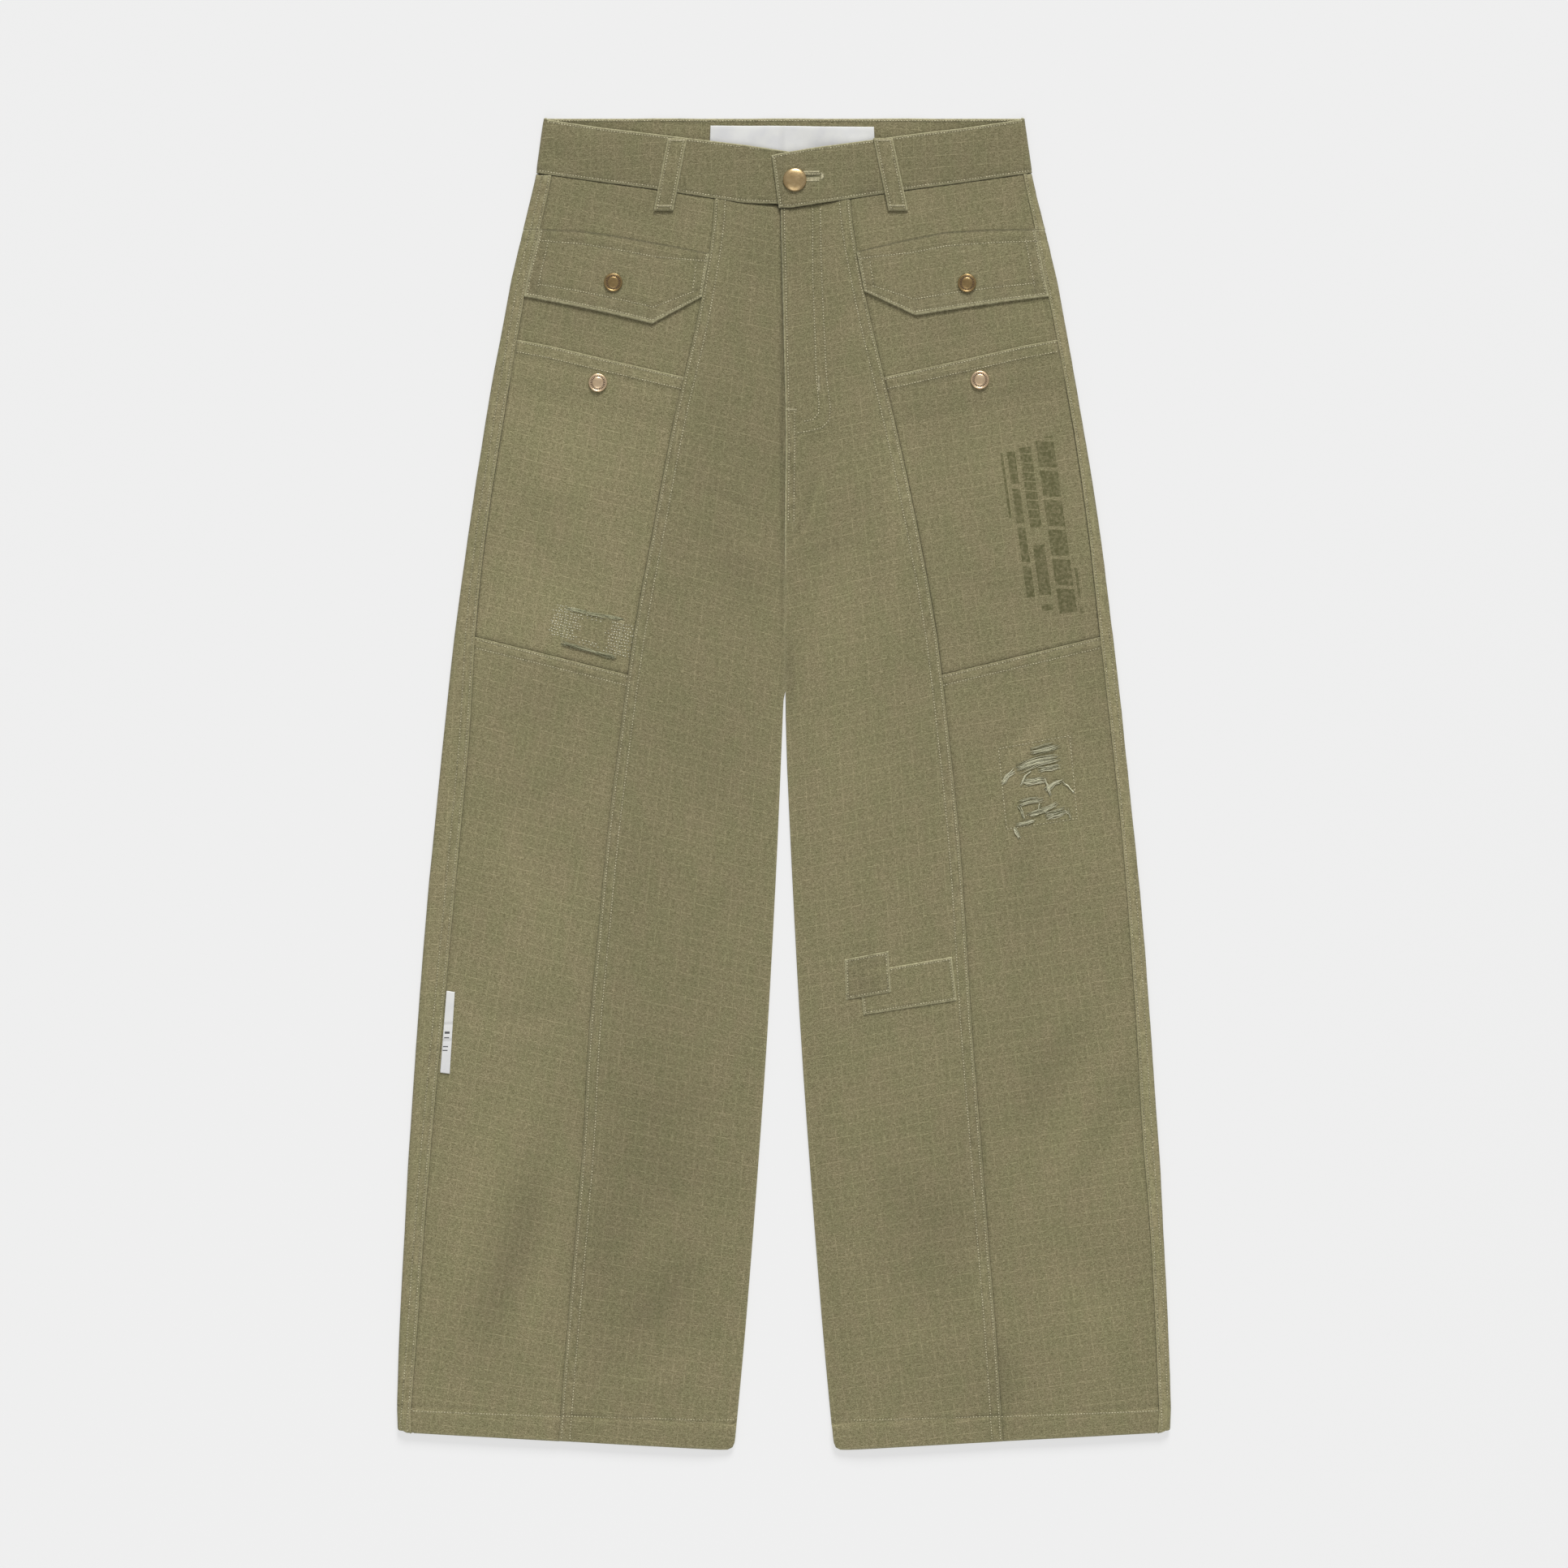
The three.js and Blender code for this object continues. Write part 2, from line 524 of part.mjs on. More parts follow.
// A four-cornered patch that lies on what is under it. `shares` are its columns across.
function patch(name, corners, shares, wall, heightAt, material) {
  const [a, b, c, d] = corners;
  add(name, wallGeometry(shares, [0, 0.5, 1], (u, v) => {
    const x = lerp(lerp(a[0], b[0], u), lerp(d[0], c[0], u), v);
    const y = lerp(lerp(a[1], b[1], u), lerp(d[1], c[1], u), v);
    const z = heightAt(x, y);
    return [[x, y, z + wall], [x, y, z]];
  }), material);
}

const onPanel = FRONT_TOP + GAP;
const smallLift = (x) => (PLY + GAP) * smoothstep(x, KNEE_PATCH_LARGE[0][0] - 10, KNEE_PATCH_LARGE[0][0] - 2);
const labelShares = [-58, -26, -11, 11, 26, 71].map((x) => (x + 58) / 129);
const labelHeight = (x, y) => loopLift(x, y) + BAND.thick + GAP;
patch('knee_patch_large', KNEE_PATCH_LARGE, [0, 0.5, 1], PLY, () => onPanel, cloth());
patch('knee_patch_small', KNEE_PATCH_SMALL, [0, 0.05, 0.3, 1], PLY, (x) => onPanel + smallLift(x), cloth());
patch('darned_patch', DARN_PATCH, [0, 0.5, 1], PLY, () => onPanel, cloth());
patch('waist_label', WAIST_LABEL, labelShares, LABEL_PLY, labelHeight, satin());
patch('side_label', SIDE_LABEL, [0, 1], LABEL_PLY, () => onPanel, satin());

// ---------------------------------------------------------------- metal

const turned = (outline) => {
  const geometry = new THREE.LatheGeometry(outline.map(([r, z]) => new THREE.Vector2(r, z)), 16);
  return geometry.rotateX(Math.PI / 2);
};

// Jeans button: its shank stands on the lower end of the band and passes through the buttonhole.
const shankTop = lapTop + GAP - underTop - GAP;
const buttonShape = turned([
  [0, 0], [BUTTON.shank, 0], [BUTTON.shank, shankTop], [BUTTON.radius - 0.6, shankTop],
  [BUTTON.radius, shankTop + 0.6], [BUTTON.radius, shankTop + 1.5],
  [BUTTON.radius - 0.9, shankTop + 2.3], [BUTTON.radius - 2.6, shankTop + 2.3],
  [BUTTON.radius - 3.2, shankTop + 1.9], [0, shankTop + BUTTON.height],
]);
add('waist_button', buttonShape, brass()).position.set(BUTTON.x, BUTTON.y, underTop + GAP);

const snapShape = [
  [0, 0], [SNAP.radius - 0.5, 0], [SNAP.radius, 0.5], [SNAP.radius, 0.9],
  [SNAP.radius - 1, 1.5], [SNAP.radius - 2.4, 1.3], [SNAP.radius - 3, 1.1], [0, SNAP.height],
];
for (const leg of Object.values(SIDES)) {
  const [flapX, flapY] = FLAP_SNAPS[leg.name];
  const flapTop = FRONT_TOP + GAP + SEAM.thick + GAP;
  add(`flap_snap_${leg.name}`, turned(snapShape), brass()).position.set(flapX, flapY, flapTop);
  const [pocketX, pocketY] = POCKET_SNAPS[leg.name];
  const pocketLevel = FRONT_TOP + GAP + PLY + GAP;
  add(`pocket_snap_${leg.name}`, turned(snapShape), brass()).position.set(pocketX, pocketY, pocketLevel);
}

export default garment;
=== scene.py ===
"""Balloon trousers in olive ripstop, laid flat on their back.

Metres. Tables and measures of the cloth are in millimetres and are turned into metres as meshes
are made. The wearer's left is +X, the waist is +Y and the surface that they lie on is z = 0.
"""

import math

import bpy
import numpy as np
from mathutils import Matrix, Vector
from mathutils.bvhtree import BVHTree


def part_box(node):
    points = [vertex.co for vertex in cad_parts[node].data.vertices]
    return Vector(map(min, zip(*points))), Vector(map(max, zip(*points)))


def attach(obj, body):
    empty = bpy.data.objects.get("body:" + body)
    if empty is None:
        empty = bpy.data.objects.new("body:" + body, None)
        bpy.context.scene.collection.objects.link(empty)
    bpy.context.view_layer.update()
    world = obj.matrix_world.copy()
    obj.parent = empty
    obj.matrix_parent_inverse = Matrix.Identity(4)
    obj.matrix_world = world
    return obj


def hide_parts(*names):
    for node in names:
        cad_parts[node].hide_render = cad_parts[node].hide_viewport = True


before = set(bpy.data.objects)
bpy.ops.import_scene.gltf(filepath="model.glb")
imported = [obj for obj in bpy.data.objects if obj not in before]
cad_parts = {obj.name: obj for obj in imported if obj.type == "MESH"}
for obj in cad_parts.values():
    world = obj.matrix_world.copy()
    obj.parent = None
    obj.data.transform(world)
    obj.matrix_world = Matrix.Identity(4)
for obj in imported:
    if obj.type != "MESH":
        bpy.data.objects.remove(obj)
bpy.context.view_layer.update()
MM = 0.001


# ------------------------------------------------------------------------------ table and studio
# A pale table top under a wide overhead light, with a softer, even glow all round. The camera
# hangs straight above the middle of the garment, with its top towards the waist.
VIEW_WIDTH = 1.2365
LENS = 100
SENSOR = 36
CAMERA_HEIGHT = VIEW_WIDTH * LENS / SENSOR + 5 * MM


def srgb(red, green, blue):
    """A colour given in 0 to 255, as the linear light that materials work in."""
    def linear(c):
        c /= 255
        return c / 12.92 if c <= 0.04045 else ((c + 0.055) / 1.055) ** 2.4

    return linear(red), linear(green), linear(blue), 1.0


bpy.ops.object.camera_add(location=(0, 0, CAMERA_HEIGHT), rotation=(0, 0, 0))
camera = bpy.context.object
camera.name = "camera"
camera.data.lens = LENS
camera.data.sensor_width = SENSOR
camera.data.clip_end = 50
bpy.context.scene.camera = camera


def soft_light(name, place, size, power):
    """A square light that looks at the middle of the table."""
    bpy.ops.object.light_add(type="AREA", location=place)
    light = bpy.context.object
    light.name = name
    light.rotation_euler = (-Vector(place)).to_track_quat("-Z", "Y").to_euler()
    light.data.shape = "SQUARE"
    light.data.size = size
    light.data.energy = power


soft_light("window_light", (1.8, 13.4, 8.4), 6.0, 2500)
soft_light("overhead_light", (-0.3, -1.5, 2.5), 2.4, 26)

world = bpy.data.worlds.new("studio")
bpy.context.scene.world = world
world.use_nodes = True
world.node_tree.nodes["Background"].inputs["Color"].default_value = (1, 1, 1, 1)
world.node_tree.nodes["Background"].inputs["Strength"].default_value = 0.34
bpy.context.scene.view_settings.view_transform = "Standard"


def new_material(name):
    """A material with nodes, its node tree and its main shader."""
    material = bpy.data.materials.new(name)
    material.use_nodes = True
    return material, material.node_tree, material.node_tree.nodes["Principled BSDF"]


bpy.ops.mesh.primitive_plane_add(size=8, location=(0, 0, -0.3 * MM))
table = bpy.context.object
table.name = "table_top"
table_paint, _, paint = new_material("table paint")
paint.inputs["Base Color"].default_value = (0.25, 0.25, 0.25, 1)
paint.inputs["Roughness"].default_value = 0.9
paint.inputs["Emission Color"].default_value = (1, 1, 1, 1)
paint.inputs["Emission Strength"].default_value = 0.585
table.data.materials.append(table_paint)


# ------------------------------------------------------------------------------------ the cloth
# Mid-weight cotton ripstop, garment dyed and washed: heathered yarns, a thicker tan yarn every
# 9.5 mm each way, faded on its edges, with painted shade where it is folded or lapped.
RIPSTOP = {"pitch": 9.5, "width": 0.36, "warp strength": 0.75, "lines": 0.5}
OLIVE = srgb(121, 115, 85)
OLIVE_DARK = srgb(90, 85, 58)
OLIVE_LIGHT = srgb(155, 148, 115)
YARN_TAN = srgb(176, 167, 130)
FADED = srgb(178, 173, 138)
DRIFT_GREEN = (0.95, 0.975, 0.94, 1)           # the dye drifts a little from place to place
DRIFT_BROWN = (1.03, 1.0, 1.02, 1)


def new_group(name, inputs, outputs):
    """A shader node group with its sockets, and the two nodes that stand for them."""
    tree = bpy.data.node_groups.new(name, "ShaderNodeTree")
    for way, sockets in (("INPUT", inputs), ("OUTPUT", outputs)):
        for socket, kind in sockets:
            tree.interface.new_socket(name=socket, in_out=way, socket_type=f"NodeSocket{kind}")
    return tree, tree.nodes.new("NodeGroupInput"), tree.nodes.new("NodeGroupOutput")


def wire(tree, kind, values=(), **settings):
    """A node with its settings. `values` go to its inputs: a socket is linked, a number is set."""
    node = tree.nodes.new(kind)
    for key, value in settings.items():
        setattr(node, key, value)
    for at, value in dict(values).items():
        if isinstance(value, bpy.types.NodeSocket):
            tree.links.new(value, node.inputs[at])
        else:
            node.inputs[at].default_value = value
    return node


def maths(tree, operation, *values, clamp=False):
    """The result of a sum on sockets or numbers."""
    node = wire(tree, "ShaderNodeMath", enumerate(values), operation=operation, use_clamp=clamp)
    return node.outputs[0]


def blend_colours(tree, share, first, second, how="MIX"):
    """The first colour with this share of the second mixed into it."""
    values = {0: share, 6: first, 7: second}
    return wire(tree, "ShaderNodeMix", values, data_type="RGBA", blend_type=how).outputs[2]


def ranged(tree, value, low, high, start=0.0, stop=1.0):
    """start where the value is low, stop where it is high, and even between them."""
    return wire(tree, "ShaderNodeMapRange", {0: value, 1: low, 2: high, 3: start, 4: stop}).outputs[0]


def object_place(tree):
    """The place on the object, in metres."""
    return wire(tree, "ShaderNodeTexCoord").outputs["Object"]


def attribute(tree, name):
    """A value that the mesh holds for each of its points."""
    return wire(tree, "ShaderNodeAttribute", attribute_name=name).outputs["Fac"]


def speckle(tree, vector, size, stretch=(1, 1), detail=1.0):
    """Noise with lumps `size` metres across, longer by `stretch` along x and y."""
    scale = (1 / (size * stretch[0]), 1 / (size * stretch[1]), 1 / size)
    scaled = wire(tree, "ShaderNodeVectorMath", {0: vector, 1: scale}, operation="MULTIPLY")
    noise = wire(tree, "ShaderNodeTexNoise", {"Vector": scaled.outputs[0], "Scale": 1.0, "Detail": detail})
    return noise.outputs["Fac"]


def thread_lines(tree, coordinate, along, pitch, width):
    """1 on thin lines a pitch apart, broken up along their length."""
    wander = maths(tree, "MULTIPLY", maths(tree, "SUBTRACT", speckle(tree, along, 0.03), 0.5), 0.0009)
    place = maths(tree, "DIVIDE", maths(tree, "ADD", coordinate, wander), pitch)
    away = maths(tree, "PINGPONG", maths(tree, "ADD", place, 0.5), 0.5)
    near = maths(tree, "SUBTRACT", 0.5, away)
    edge = maths(tree, "DIVIDE", width, pitch)
    line = maths(tree, "SUBTRACT", 1.0, maths(tree, "DIVIDE", near, edge), clamp=True)
    return maths(tree, "MULTIPLY", line, 1.8, clamp=True)


ripstop_group, given, made = new_group(
    "ripstop weave",
    [("Grain", "Vector"), ("Pitch", "Float"), ("Width", "Float"), ("Warp Strength", "Float")],
    [("Lines", "Float")],
)
axes = wire(ripstop_group, "ShaderNodeSeparateXYZ", {0: given.outputs["Grain"]})
masks = []
for axis, stretch in ((1, (4, 1.5)), (0, (1.5, 4))):
    line = thread_lines(ripstop_group, axes.outputs[axis], given.outputs["Grain"],
                        given.outputs["Pitch"], given.outputs["Width"])
    breaks = speckle(ripstop_group, given.outputs["Grain"], 0.0008, stretch, 3.0)
    breaks = ranged(ripstop_group, breaks, 0.42, 0.6, 0.05, 1.0)
    masks.append(maths(ripstop_group, "MULTIPLY", line, breaks))
masks[1] = maths(ripstop_group, "MULTIPLY", masks[1], given.outputs["Warp Strength"])
ripstop_group.links.new(maths(ripstop_group, "MAXIMUM", *masks), made.inputs["Lines"])

heather_group, given, made = new_group("heathered yarn", [("Grain", "Vector")], [("Tone", "Float")])
grain = given.outputs["Grain"]
aside = wire(heather_group, "ShaderNodeVectorMath", {0: grain, 1: (3.1, 1.7, 0)}, operation="ADD").outputs[0]
tone = None
for vector, size, stretch, weight in (
    (grain, 0.00042, (2.4, 0.8), 0.36), (aside, 0.00042, (0.8, 2.4), 0.36),
    (aside, 0.00140, (1.7, 0.9), 0.21), (grain, 0.00400, (0.8, 1.3), 0.07),
):
    share = maths(heather_group, "MULTIPLY", speckle(heather_group, vector, size, stretch, 1.5), weight)
    tone = share if tone is None else maths(heather_group, "ADD", tone, share)
heather_group.links.new(tone, made.inputs["Tone"])

wear_group, given, made = new_group(
    "washed edges", [("Wear", "Float"), ("Place", "Vector"), ("Coverage", "Float")], [("Mask", "Float")],
)
flecks = speckle(wear_group, given.outputs["Place"], 0.0016, (1, 1), 3.0)
flecks = ranged(wear_group, flecks, 0.34, 0.66, 0.25, 1.0)
faded = maths(wear_group, "MULTIPLY", given.outputs["Wear"], flecks)
faded = maths(wear_group, "MULTIPLY", faded, given.outputs["Coverage"], clamp=True)
wear_group.links.new(faded, made.inputs["Mask"])


def shaded(tree, colour):
    """The colour, made darker or lighter by the shade that the mesh holds: painted shade and light, the
    wash's fading and each panel's tone.
    """
    amount = ranged(tree, attribute(tree, "shade"), -1.0, 1.0, 0.55, 1.45)
    return blend_colours(tree, 1.0, colour, amount, "MULTIPLY")


def cloth_material(name, mark=None):
    """Ripstop. `mark` may add a printed mask: it takes the tree and returns (mask, colour)."""
    material, tree, surface = new_material(name)
    grain = wire(tree, "ShaderNodeUVMap", uv_map="grain").outputs[0]
    place = object_place(tree)
    weave = wire(tree, "ShaderNodeGroup", node_tree=ripstop_group)
    tree.links.new(grain, weave.inputs["Grain"])
    weave.inputs["Pitch"].default_value = RIPSTOP["pitch"] * MM
    weave.inputs["Width"].default_value = RIPSTOP["width"] * MM
    weave.inputs["Warp Strength"].default_value = RIPSTOP["warp strength"]
    yarn = wire(tree, "ShaderNodeGroup", {"Grain": grain}, node_tree=heather_group)
    worn = wire(tree, "ShaderNodeGroup", node_tree=wear_group)
    tree.links.new(attribute(tree, "wear"), worn.inputs["Wear"])
    tree.links.new(place, worn.inputs["Place"])
    worn.inputs["Coverage"].default_value = 0.8

    tones = wire(tree, "ShaderNodeValToRGB", {"Fac": yarn.outputs["Tone"]})
    ramp = tones.color_ramp
    ramp.elements[0].position, ramp.elements[0].color = 0.395, OLIVE_DARK
    ramp.elements[1].position, ramp.elements[1].color = 0.605, OLIVE_LIGHT
    middle = ramp.elements.new(0.49)
    middle.color = OLIVE
    lines = maths(tree, "MULTIPLY", weave.outputs["Lines"], RIPSTOP["lines"])
    colour = blend_colours(tree, lines, tones.outputs["Color"], YARN_TAN)
    drift = ranged(tree, speckle(tree, place, 0.022, (0.7, 1.3), 3.0), 0.34, 0.66)
    tint = blend_colours(tree, drift, DRIFT_GREEN, DRIFT_BROWN)
    colour = blend_colours(tree, 1.0, colour, tint, "MULTIPLY")
    if mark:
        mask, ink = mark(tree)
        colour = blend_colours(tree, mask, colour, ink)
    colour = blend_colours(tree, worn.outputs["Mask"], colour, FADED)
    tree.links.new(shaded(tree, colour), surface.inputs["Base Color"])

    relief = maths(tree, "ADD", yarn.outputs["Tone"], maths(tree, "MULTIPLY", weave.outputs["Lines"], 0.5))
    bump = wire(tree, "ShaderNodeBump", {"Height": relief, "Strength": 0.6, "Distance": 0.22 * MM})
    tree.links.new(bump.outputs[0], surface.inputs["Normal"])
    surface.inputs["Roughness"].default_value = 0.9
    surface.inputs["Specular IOR Level"].default_value = 0.2
    surface.inputs["Sheen Weight"].default_value = 0.12
    surface.inputs["Sheen Roughness"].default_value = 0.5
    return material


ripstop = cloth_material("olive ripstop")


# ----------------------------------------------------------------------- how the garment lies
# The pressed cloth never lies quite level. These are its main creases, as soft troughs (negative)
# and ridges: the points that each runs through, its half width and its rise, in millimetres.
CREASES = [
    # wearer's right leg, lower: long diagonals across the side panel
    {"path": [(-190, -290), (-212, -370), (-243, -462)], "width": 13, "rise": -2.0},
    {"path": [(-222, -270), (-250, -350), (-278, -450)], "width": 15, "rise": 1.0},
    {"path": [(-176, -335), (-190, -400), (-214, -470)], "width": 10, "rise": 1.0},
    {"path": [(-183, -215), (-205, -262), (-240, -300)], "width": 16, "rise": 0.7},
    {"path": [(-58, -368), (-92, -408), (-136, -446)], "width": 15, "rise": -1.4},
    {"path": [(-52, -318), (-96, -352), (-132, -400)], "width": 14, "rise": 0.8},
    {"path": [(-60, -452), (-100, -470), (-150, -478)], "width": 10, "rise": 0.6},
    {"path": [(-40, -250), (-85, -262), (-150, -250)], "width": 16, "rise": -0.7},
    {"path": [(-162, -120), (-200, -90), (-232, -40)], "width": 18, "rise": 0.6},
    {"path": [(-150, 20), (-190, -10), (-240, -20)], "width": 15, "rise": -0.6},
    {"path": [(-170, -178), (-215, -184), (-262, -176)], "width": 9, "rise": -0.7},
    {"path": [(-24, -60), (-60, -110), (-84, -180)], "width": 16, "rise": -0.7},
    # wearer's left leg, lower
    {"path": [(250, -172), (205, -232), (184, -292)], "width": 16, "rise": -1.4},
    {"path": [(268, -205), (232, -255), (210, -320)], "width": 14, "rise": 0.9},
    {"path": [(258, -262), (236, -310), (226, -352)], "width": 11, "rise": -0.9},
    {"path": [(230, 82), (205, 44), (178, 6)], "width": 12, "rise": 1.1},
    {"path": [(208, 78), (186, 40), (160, 18)], "width": 9, "rise": -0.7},
    {"path": [(196, -30), (192, -60), (176, -92)], "width": 13, "rise": -0.9},
    {"path": [(72, -120), (64, -150), (58, -190)], "width": 12, "rise": -0.8},
    {"path": [(160, -430), (172, -470), (178, -500)], "width": 11, "rise": -1.1},
    {"path": [(148, -360), (156, -395), (150, -430)], "width": 9, "rise": 0.8},
    {"path": [(60, -300), (110, -340), (150, -350)], "width": 17, "rise": -0.7},
    {"path": [(50, -400), (90, -440), (130, -445)], "width": 15, "rise": 0.6},
    {"path": [(200, -380), (240, -420), (280, -430)], "width": 16, "rise": 0.6},
    # seat and thighs
    {"path": [(-70, 210), (-40, 170), (-24, 120)], "width": 14, "rise": -0.8},
    {"path": [(80, 215), (52, 168), (40, 110)], "width": 14, "rise": 0.8},
    {"path": [(-6, 196), (-44, 226), (-78, 238)], "width": 6, "rise": -0.5},
    {"path": [(-4, 172), (-36, 184), (-70, 180)], "width": 7, "rise": 0.5},
    {"path": [(6, 168), (42, 186), (78, 190)], "width": 7, "rise": -0.5},
    {"path": [(14, 269), (30, 274), (45, 281)], "width": 3.4, "rise": -0.55},
    {"path": [(2, 184), (14, 202), (21, 228), (24, 246)], "width": 2.3, "rise": -1.3},
    {"path": [(7, 186), (19, 203), (26, 228), (29, 244)], "width": 3.2, "rise": 0.9},
    {"path": [(-10, 300), (-26, 330), (-30, 380)], "width": 8, "rise": 0.4},
    {"path": [(34, 300), (38, 350), (34, 400)], "width": 7, "rise": -0.4},
    {"path": [(96, 262), (95, 228), (100, 190)], "width": 6, "rise": 0.7},
    {"path": [(-200, 290), (-170, 250), (-165, 200)], "width": 24, "rise": 1.1},
    {"path": [(-230, 190), (-205, 160), (-150, 150)], "width": 18, "rise": 0.8},
    {"path": [(-226, 232), (-190, 214), (-140, 222)], "width": 12, "rise": -0.5},
    {"path": [(150, 260), (190, 226), (222, 180)], "width": 20, "rise": 0.7},
    {"path": [(130, 170), (170, 150), (226, 150)], "width": 14, "rise": -0.6},
    # waist and hips
    {"path": [(-190, 502), (-178, 494), (-166, 488)], "width": 6, "rise": -0.8},
    {"path": [(-175, 512), (-150, 500), (-130, 494)], "width": 7, "rise": 0.4},
    {"path": [(190, 505), (168, 497), (140, 494)], "width": 7, "rise": -0.4},
    {"path": [(-60, 440), (-52, 400), (-62, 350)], "width": 9, "rise": 0.5},
    {"path": [(62, 446), (58, 410), (74, 350)], "width": 9, "rise": -0.5},
    {"path": [(110, 470), (104, 448), (112, 436)], "width": 9, "rise": 0.5},
    {"path": [(-140, 460), (-120, 448), (-96, 450)], "width": 8, "rise": -0.5},
]


def smooth_step(value, low, high):
    """0 up to low, 1 from high on, and a smooth rise between them."""
    share = np.clip((value - low) / (high - low), 0, 1)
    return share * share * (3 - 2 * share)


def rounded(away, width):
    """1 at no distance, and fading softly to nothing at about twice the width."""
    return np.exp(-((away / width) ** 2))


CREASE_END = 0.15            # the share of a crease's rise that is left at its ends


def crease(x, y, path, width, rise, ends=0.35):
    """Height of one crease at x, y: rounded across, and fading out over the `ends` of its length."""
    best = np.full(x.shape, 1e9)
    share = np.zeros(x.shape)
    count = len(path) - 1
    for i, ((ax, ay), (bx, by)) in enumerate(zip(path, path[1:])):
        dx, dy = bx - ax, by - ay
        along = np.clip(((x - ax) * dx + (y - ay) * dy) / (dx * dx + dy * dy), 0, 1)
        away = np.hypot(x - ax - along * dx, y - ay - along * dy)
        nearer = away < best
        best = np.where(nearer, away, best)
        share = np.where(nearer, (i + along) / count, share)
    fade = smooth_step(share, 0, ends) * smooth_step(1 - share, 0, ends)
    return rise * rounded(best, width) * (CREASE_END + (1 - CREASE_END) * fade)


def lumps(x, y, size, seed):
    """Smooth random heights from -1 to 1, with lumps of about that size."""
    table = np.random.default_rng(seed).uniform(-1, 1, (64, 64))
    gx, gy = x / size, y / size
    ix, iy = np.floor(gx).astype(int), np.floor(gy).astype(int)
    fx, fy = gx - ix, gy - iy
    fx, fy = fx * fx * (3 - 2 * fx), fy * fy * (3 - 2 * fy)
    low, high = [table[ix % 64, (iy + j) % 64] * (1 - fx) + table[(ix + 1) % 64, (iy + j) % 64] * fx
                 for j in (0, 1)]
    return low * (1 - fy) + high * fy


WASHES_AND_SHADES = [
    # where the front is lighter (above 0) or darker, from the wash's fading and from painted shade: a soft
    # spot's middle and radii
    {"x": -212, "y": 262, "rx": 30, "ry": 55, "shade": 0.08},
    {"x": -195, "y": 132, "rx": 62, "ry": 26, "shade": 0.09},
    {"x": -160, "y": 215, "rx": 34, "ry": 30, "shade": 0.06},
    {"x": -185, "y": 62, "rx": 60, "ry": 26, "shade": -0.1},
    {"x": -205, "y": -60, "rx": 40, "ry": 60, "shade": 0.05},
    {"x": -190, "y": -195, "rx": 60, "ry": 26, "shade": 0.07},
    {"x": -215, "y": -395, "rx": 75, "ry": 110, "shade": -0.16},
    {"x": -110, "y": -285, "rx": 62, "ry": 190, "shade": -0.17},
    {"x": -85, "y": -315, "rx": 34, "ry": 60, "shade": -0.07},
    {"x": -142, "y": -392, "rx": 18, "ry": 60, "shade": -0.09},
    {"x": -60, "y": -455, "rx": 40, "ry": 30, "shade": 0.07},
    {"x": -26, "y": 320, "rx": 66, "ry": 150, "shade": -0.12},
    # painted shadows: a thin one beside the fly's edge, and one where the legs overlap above their parting
    {"x": -1.6, "y": 320, "rx": 1.5, "ry": 175, "shade": -0.7},
    {"x": 4, "y": 86, "rx": 5, "ry": 30, "shade": -0.42},
    {"x": 88, "y": 225, "rx": 8, "ry": 75, "shade": 0.2},
    {"x": 36, "y": 55, "rx": 40, "ry": 105, "shade": 0.14},
    {"x": 62, "y": -110, "rx": 60, "ry": 80, "shade": 0.05},
    {"x": 150, "y": 240, "rx": 45, "ry": 60, "shade": 0.06},
    {"x": 228, "y": -5, "rx": 40, "ry": 60, "shade": 0.13},
    {"x": 195, "y": -85, "rx": 26, "ry": 44, "shade": -0.08},
    {"x": 240, "y": -310, "rx": 50, "ry": 130, "shade": 0.05},
    {"x": 112, "y": -390, "rx": 70, "ry": 125, "shade": -0.15},
    {"x": 170, "y": -488, "rx": 24, "ry": 26, "shade": -0.16},
    {"x": 150, "y": -275, "rx": 18, "ry": 50, "shade": -0.09},
    {"x": 120, "y": -100, "rx": 16, "ry": 44, "shade": -0.06},
    {"x": 74, "y": 466, "rx": 18, "ry": 14, "shade": -0.3},
    {"x": -94, "y": 464, "rx": 18, "ry": 14, "shade": -0.2},
    {"x": 150, "y": 482, "rx": 55, "ry": 18, "shade": -0.13},
    {"x": -150, "y": 476, "rx": 55, "ry": 24, "shade": -0.1},
    {"x": 146, "y": 418, "rx": 24, "ry": 18, "shade": 0.1},
    {"x": 128, "y": 366, "rx": 36, "ry": 14, "shade": -0.12},
    {"x": -150, "y": 368, "rx": 50, "ry": 12, "shade": -0.13},
]
UNEVEN = [                   # the small rise and fall all over, with how broad its lumps are
    {"rise": 0.55, "size": 62, "seed": 3}, {"rise": 0.22, "size": 27, "seed": 4},
    {"rise": 0.07, "size": 11, "seed": 5},
]
METAL = ("flap_snap_left", "flap_snap_right", "pocket_snap_left", "pocket_snap_right", "waist_button")
LEVEL_ROUND_METAL = (9, 24)  # level to this far out, and free of it from this far out


def washed(x, y):
    """How much lighter or darker the front is here, as a shade: the wash's fading and painted shade."""
    return sum(row["shade"] * rounded(x - row["x"], row["rx"]) * rounded(y - row["y"], row["ry"])
               for row in WASHES_AND_SHADES)


def rumple(x, y):
    """How far the front's cloth stands above or below its frame, level under the metal snaps."""
    height = sum(row["rise"] * lumps(x, y, row["size"], row["seed"]) for row in UNEVEN)
    height = height + sum(crease(x, y, **row) for row in CREASES)
    for node in METAL:
        low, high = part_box(node)
        centre = (low + high) / 2 / MM
        height = height * smooth_step(np.hypot(x - centre.x, y - centre.y), *LEVEL_ROUND_METAL)
    return height


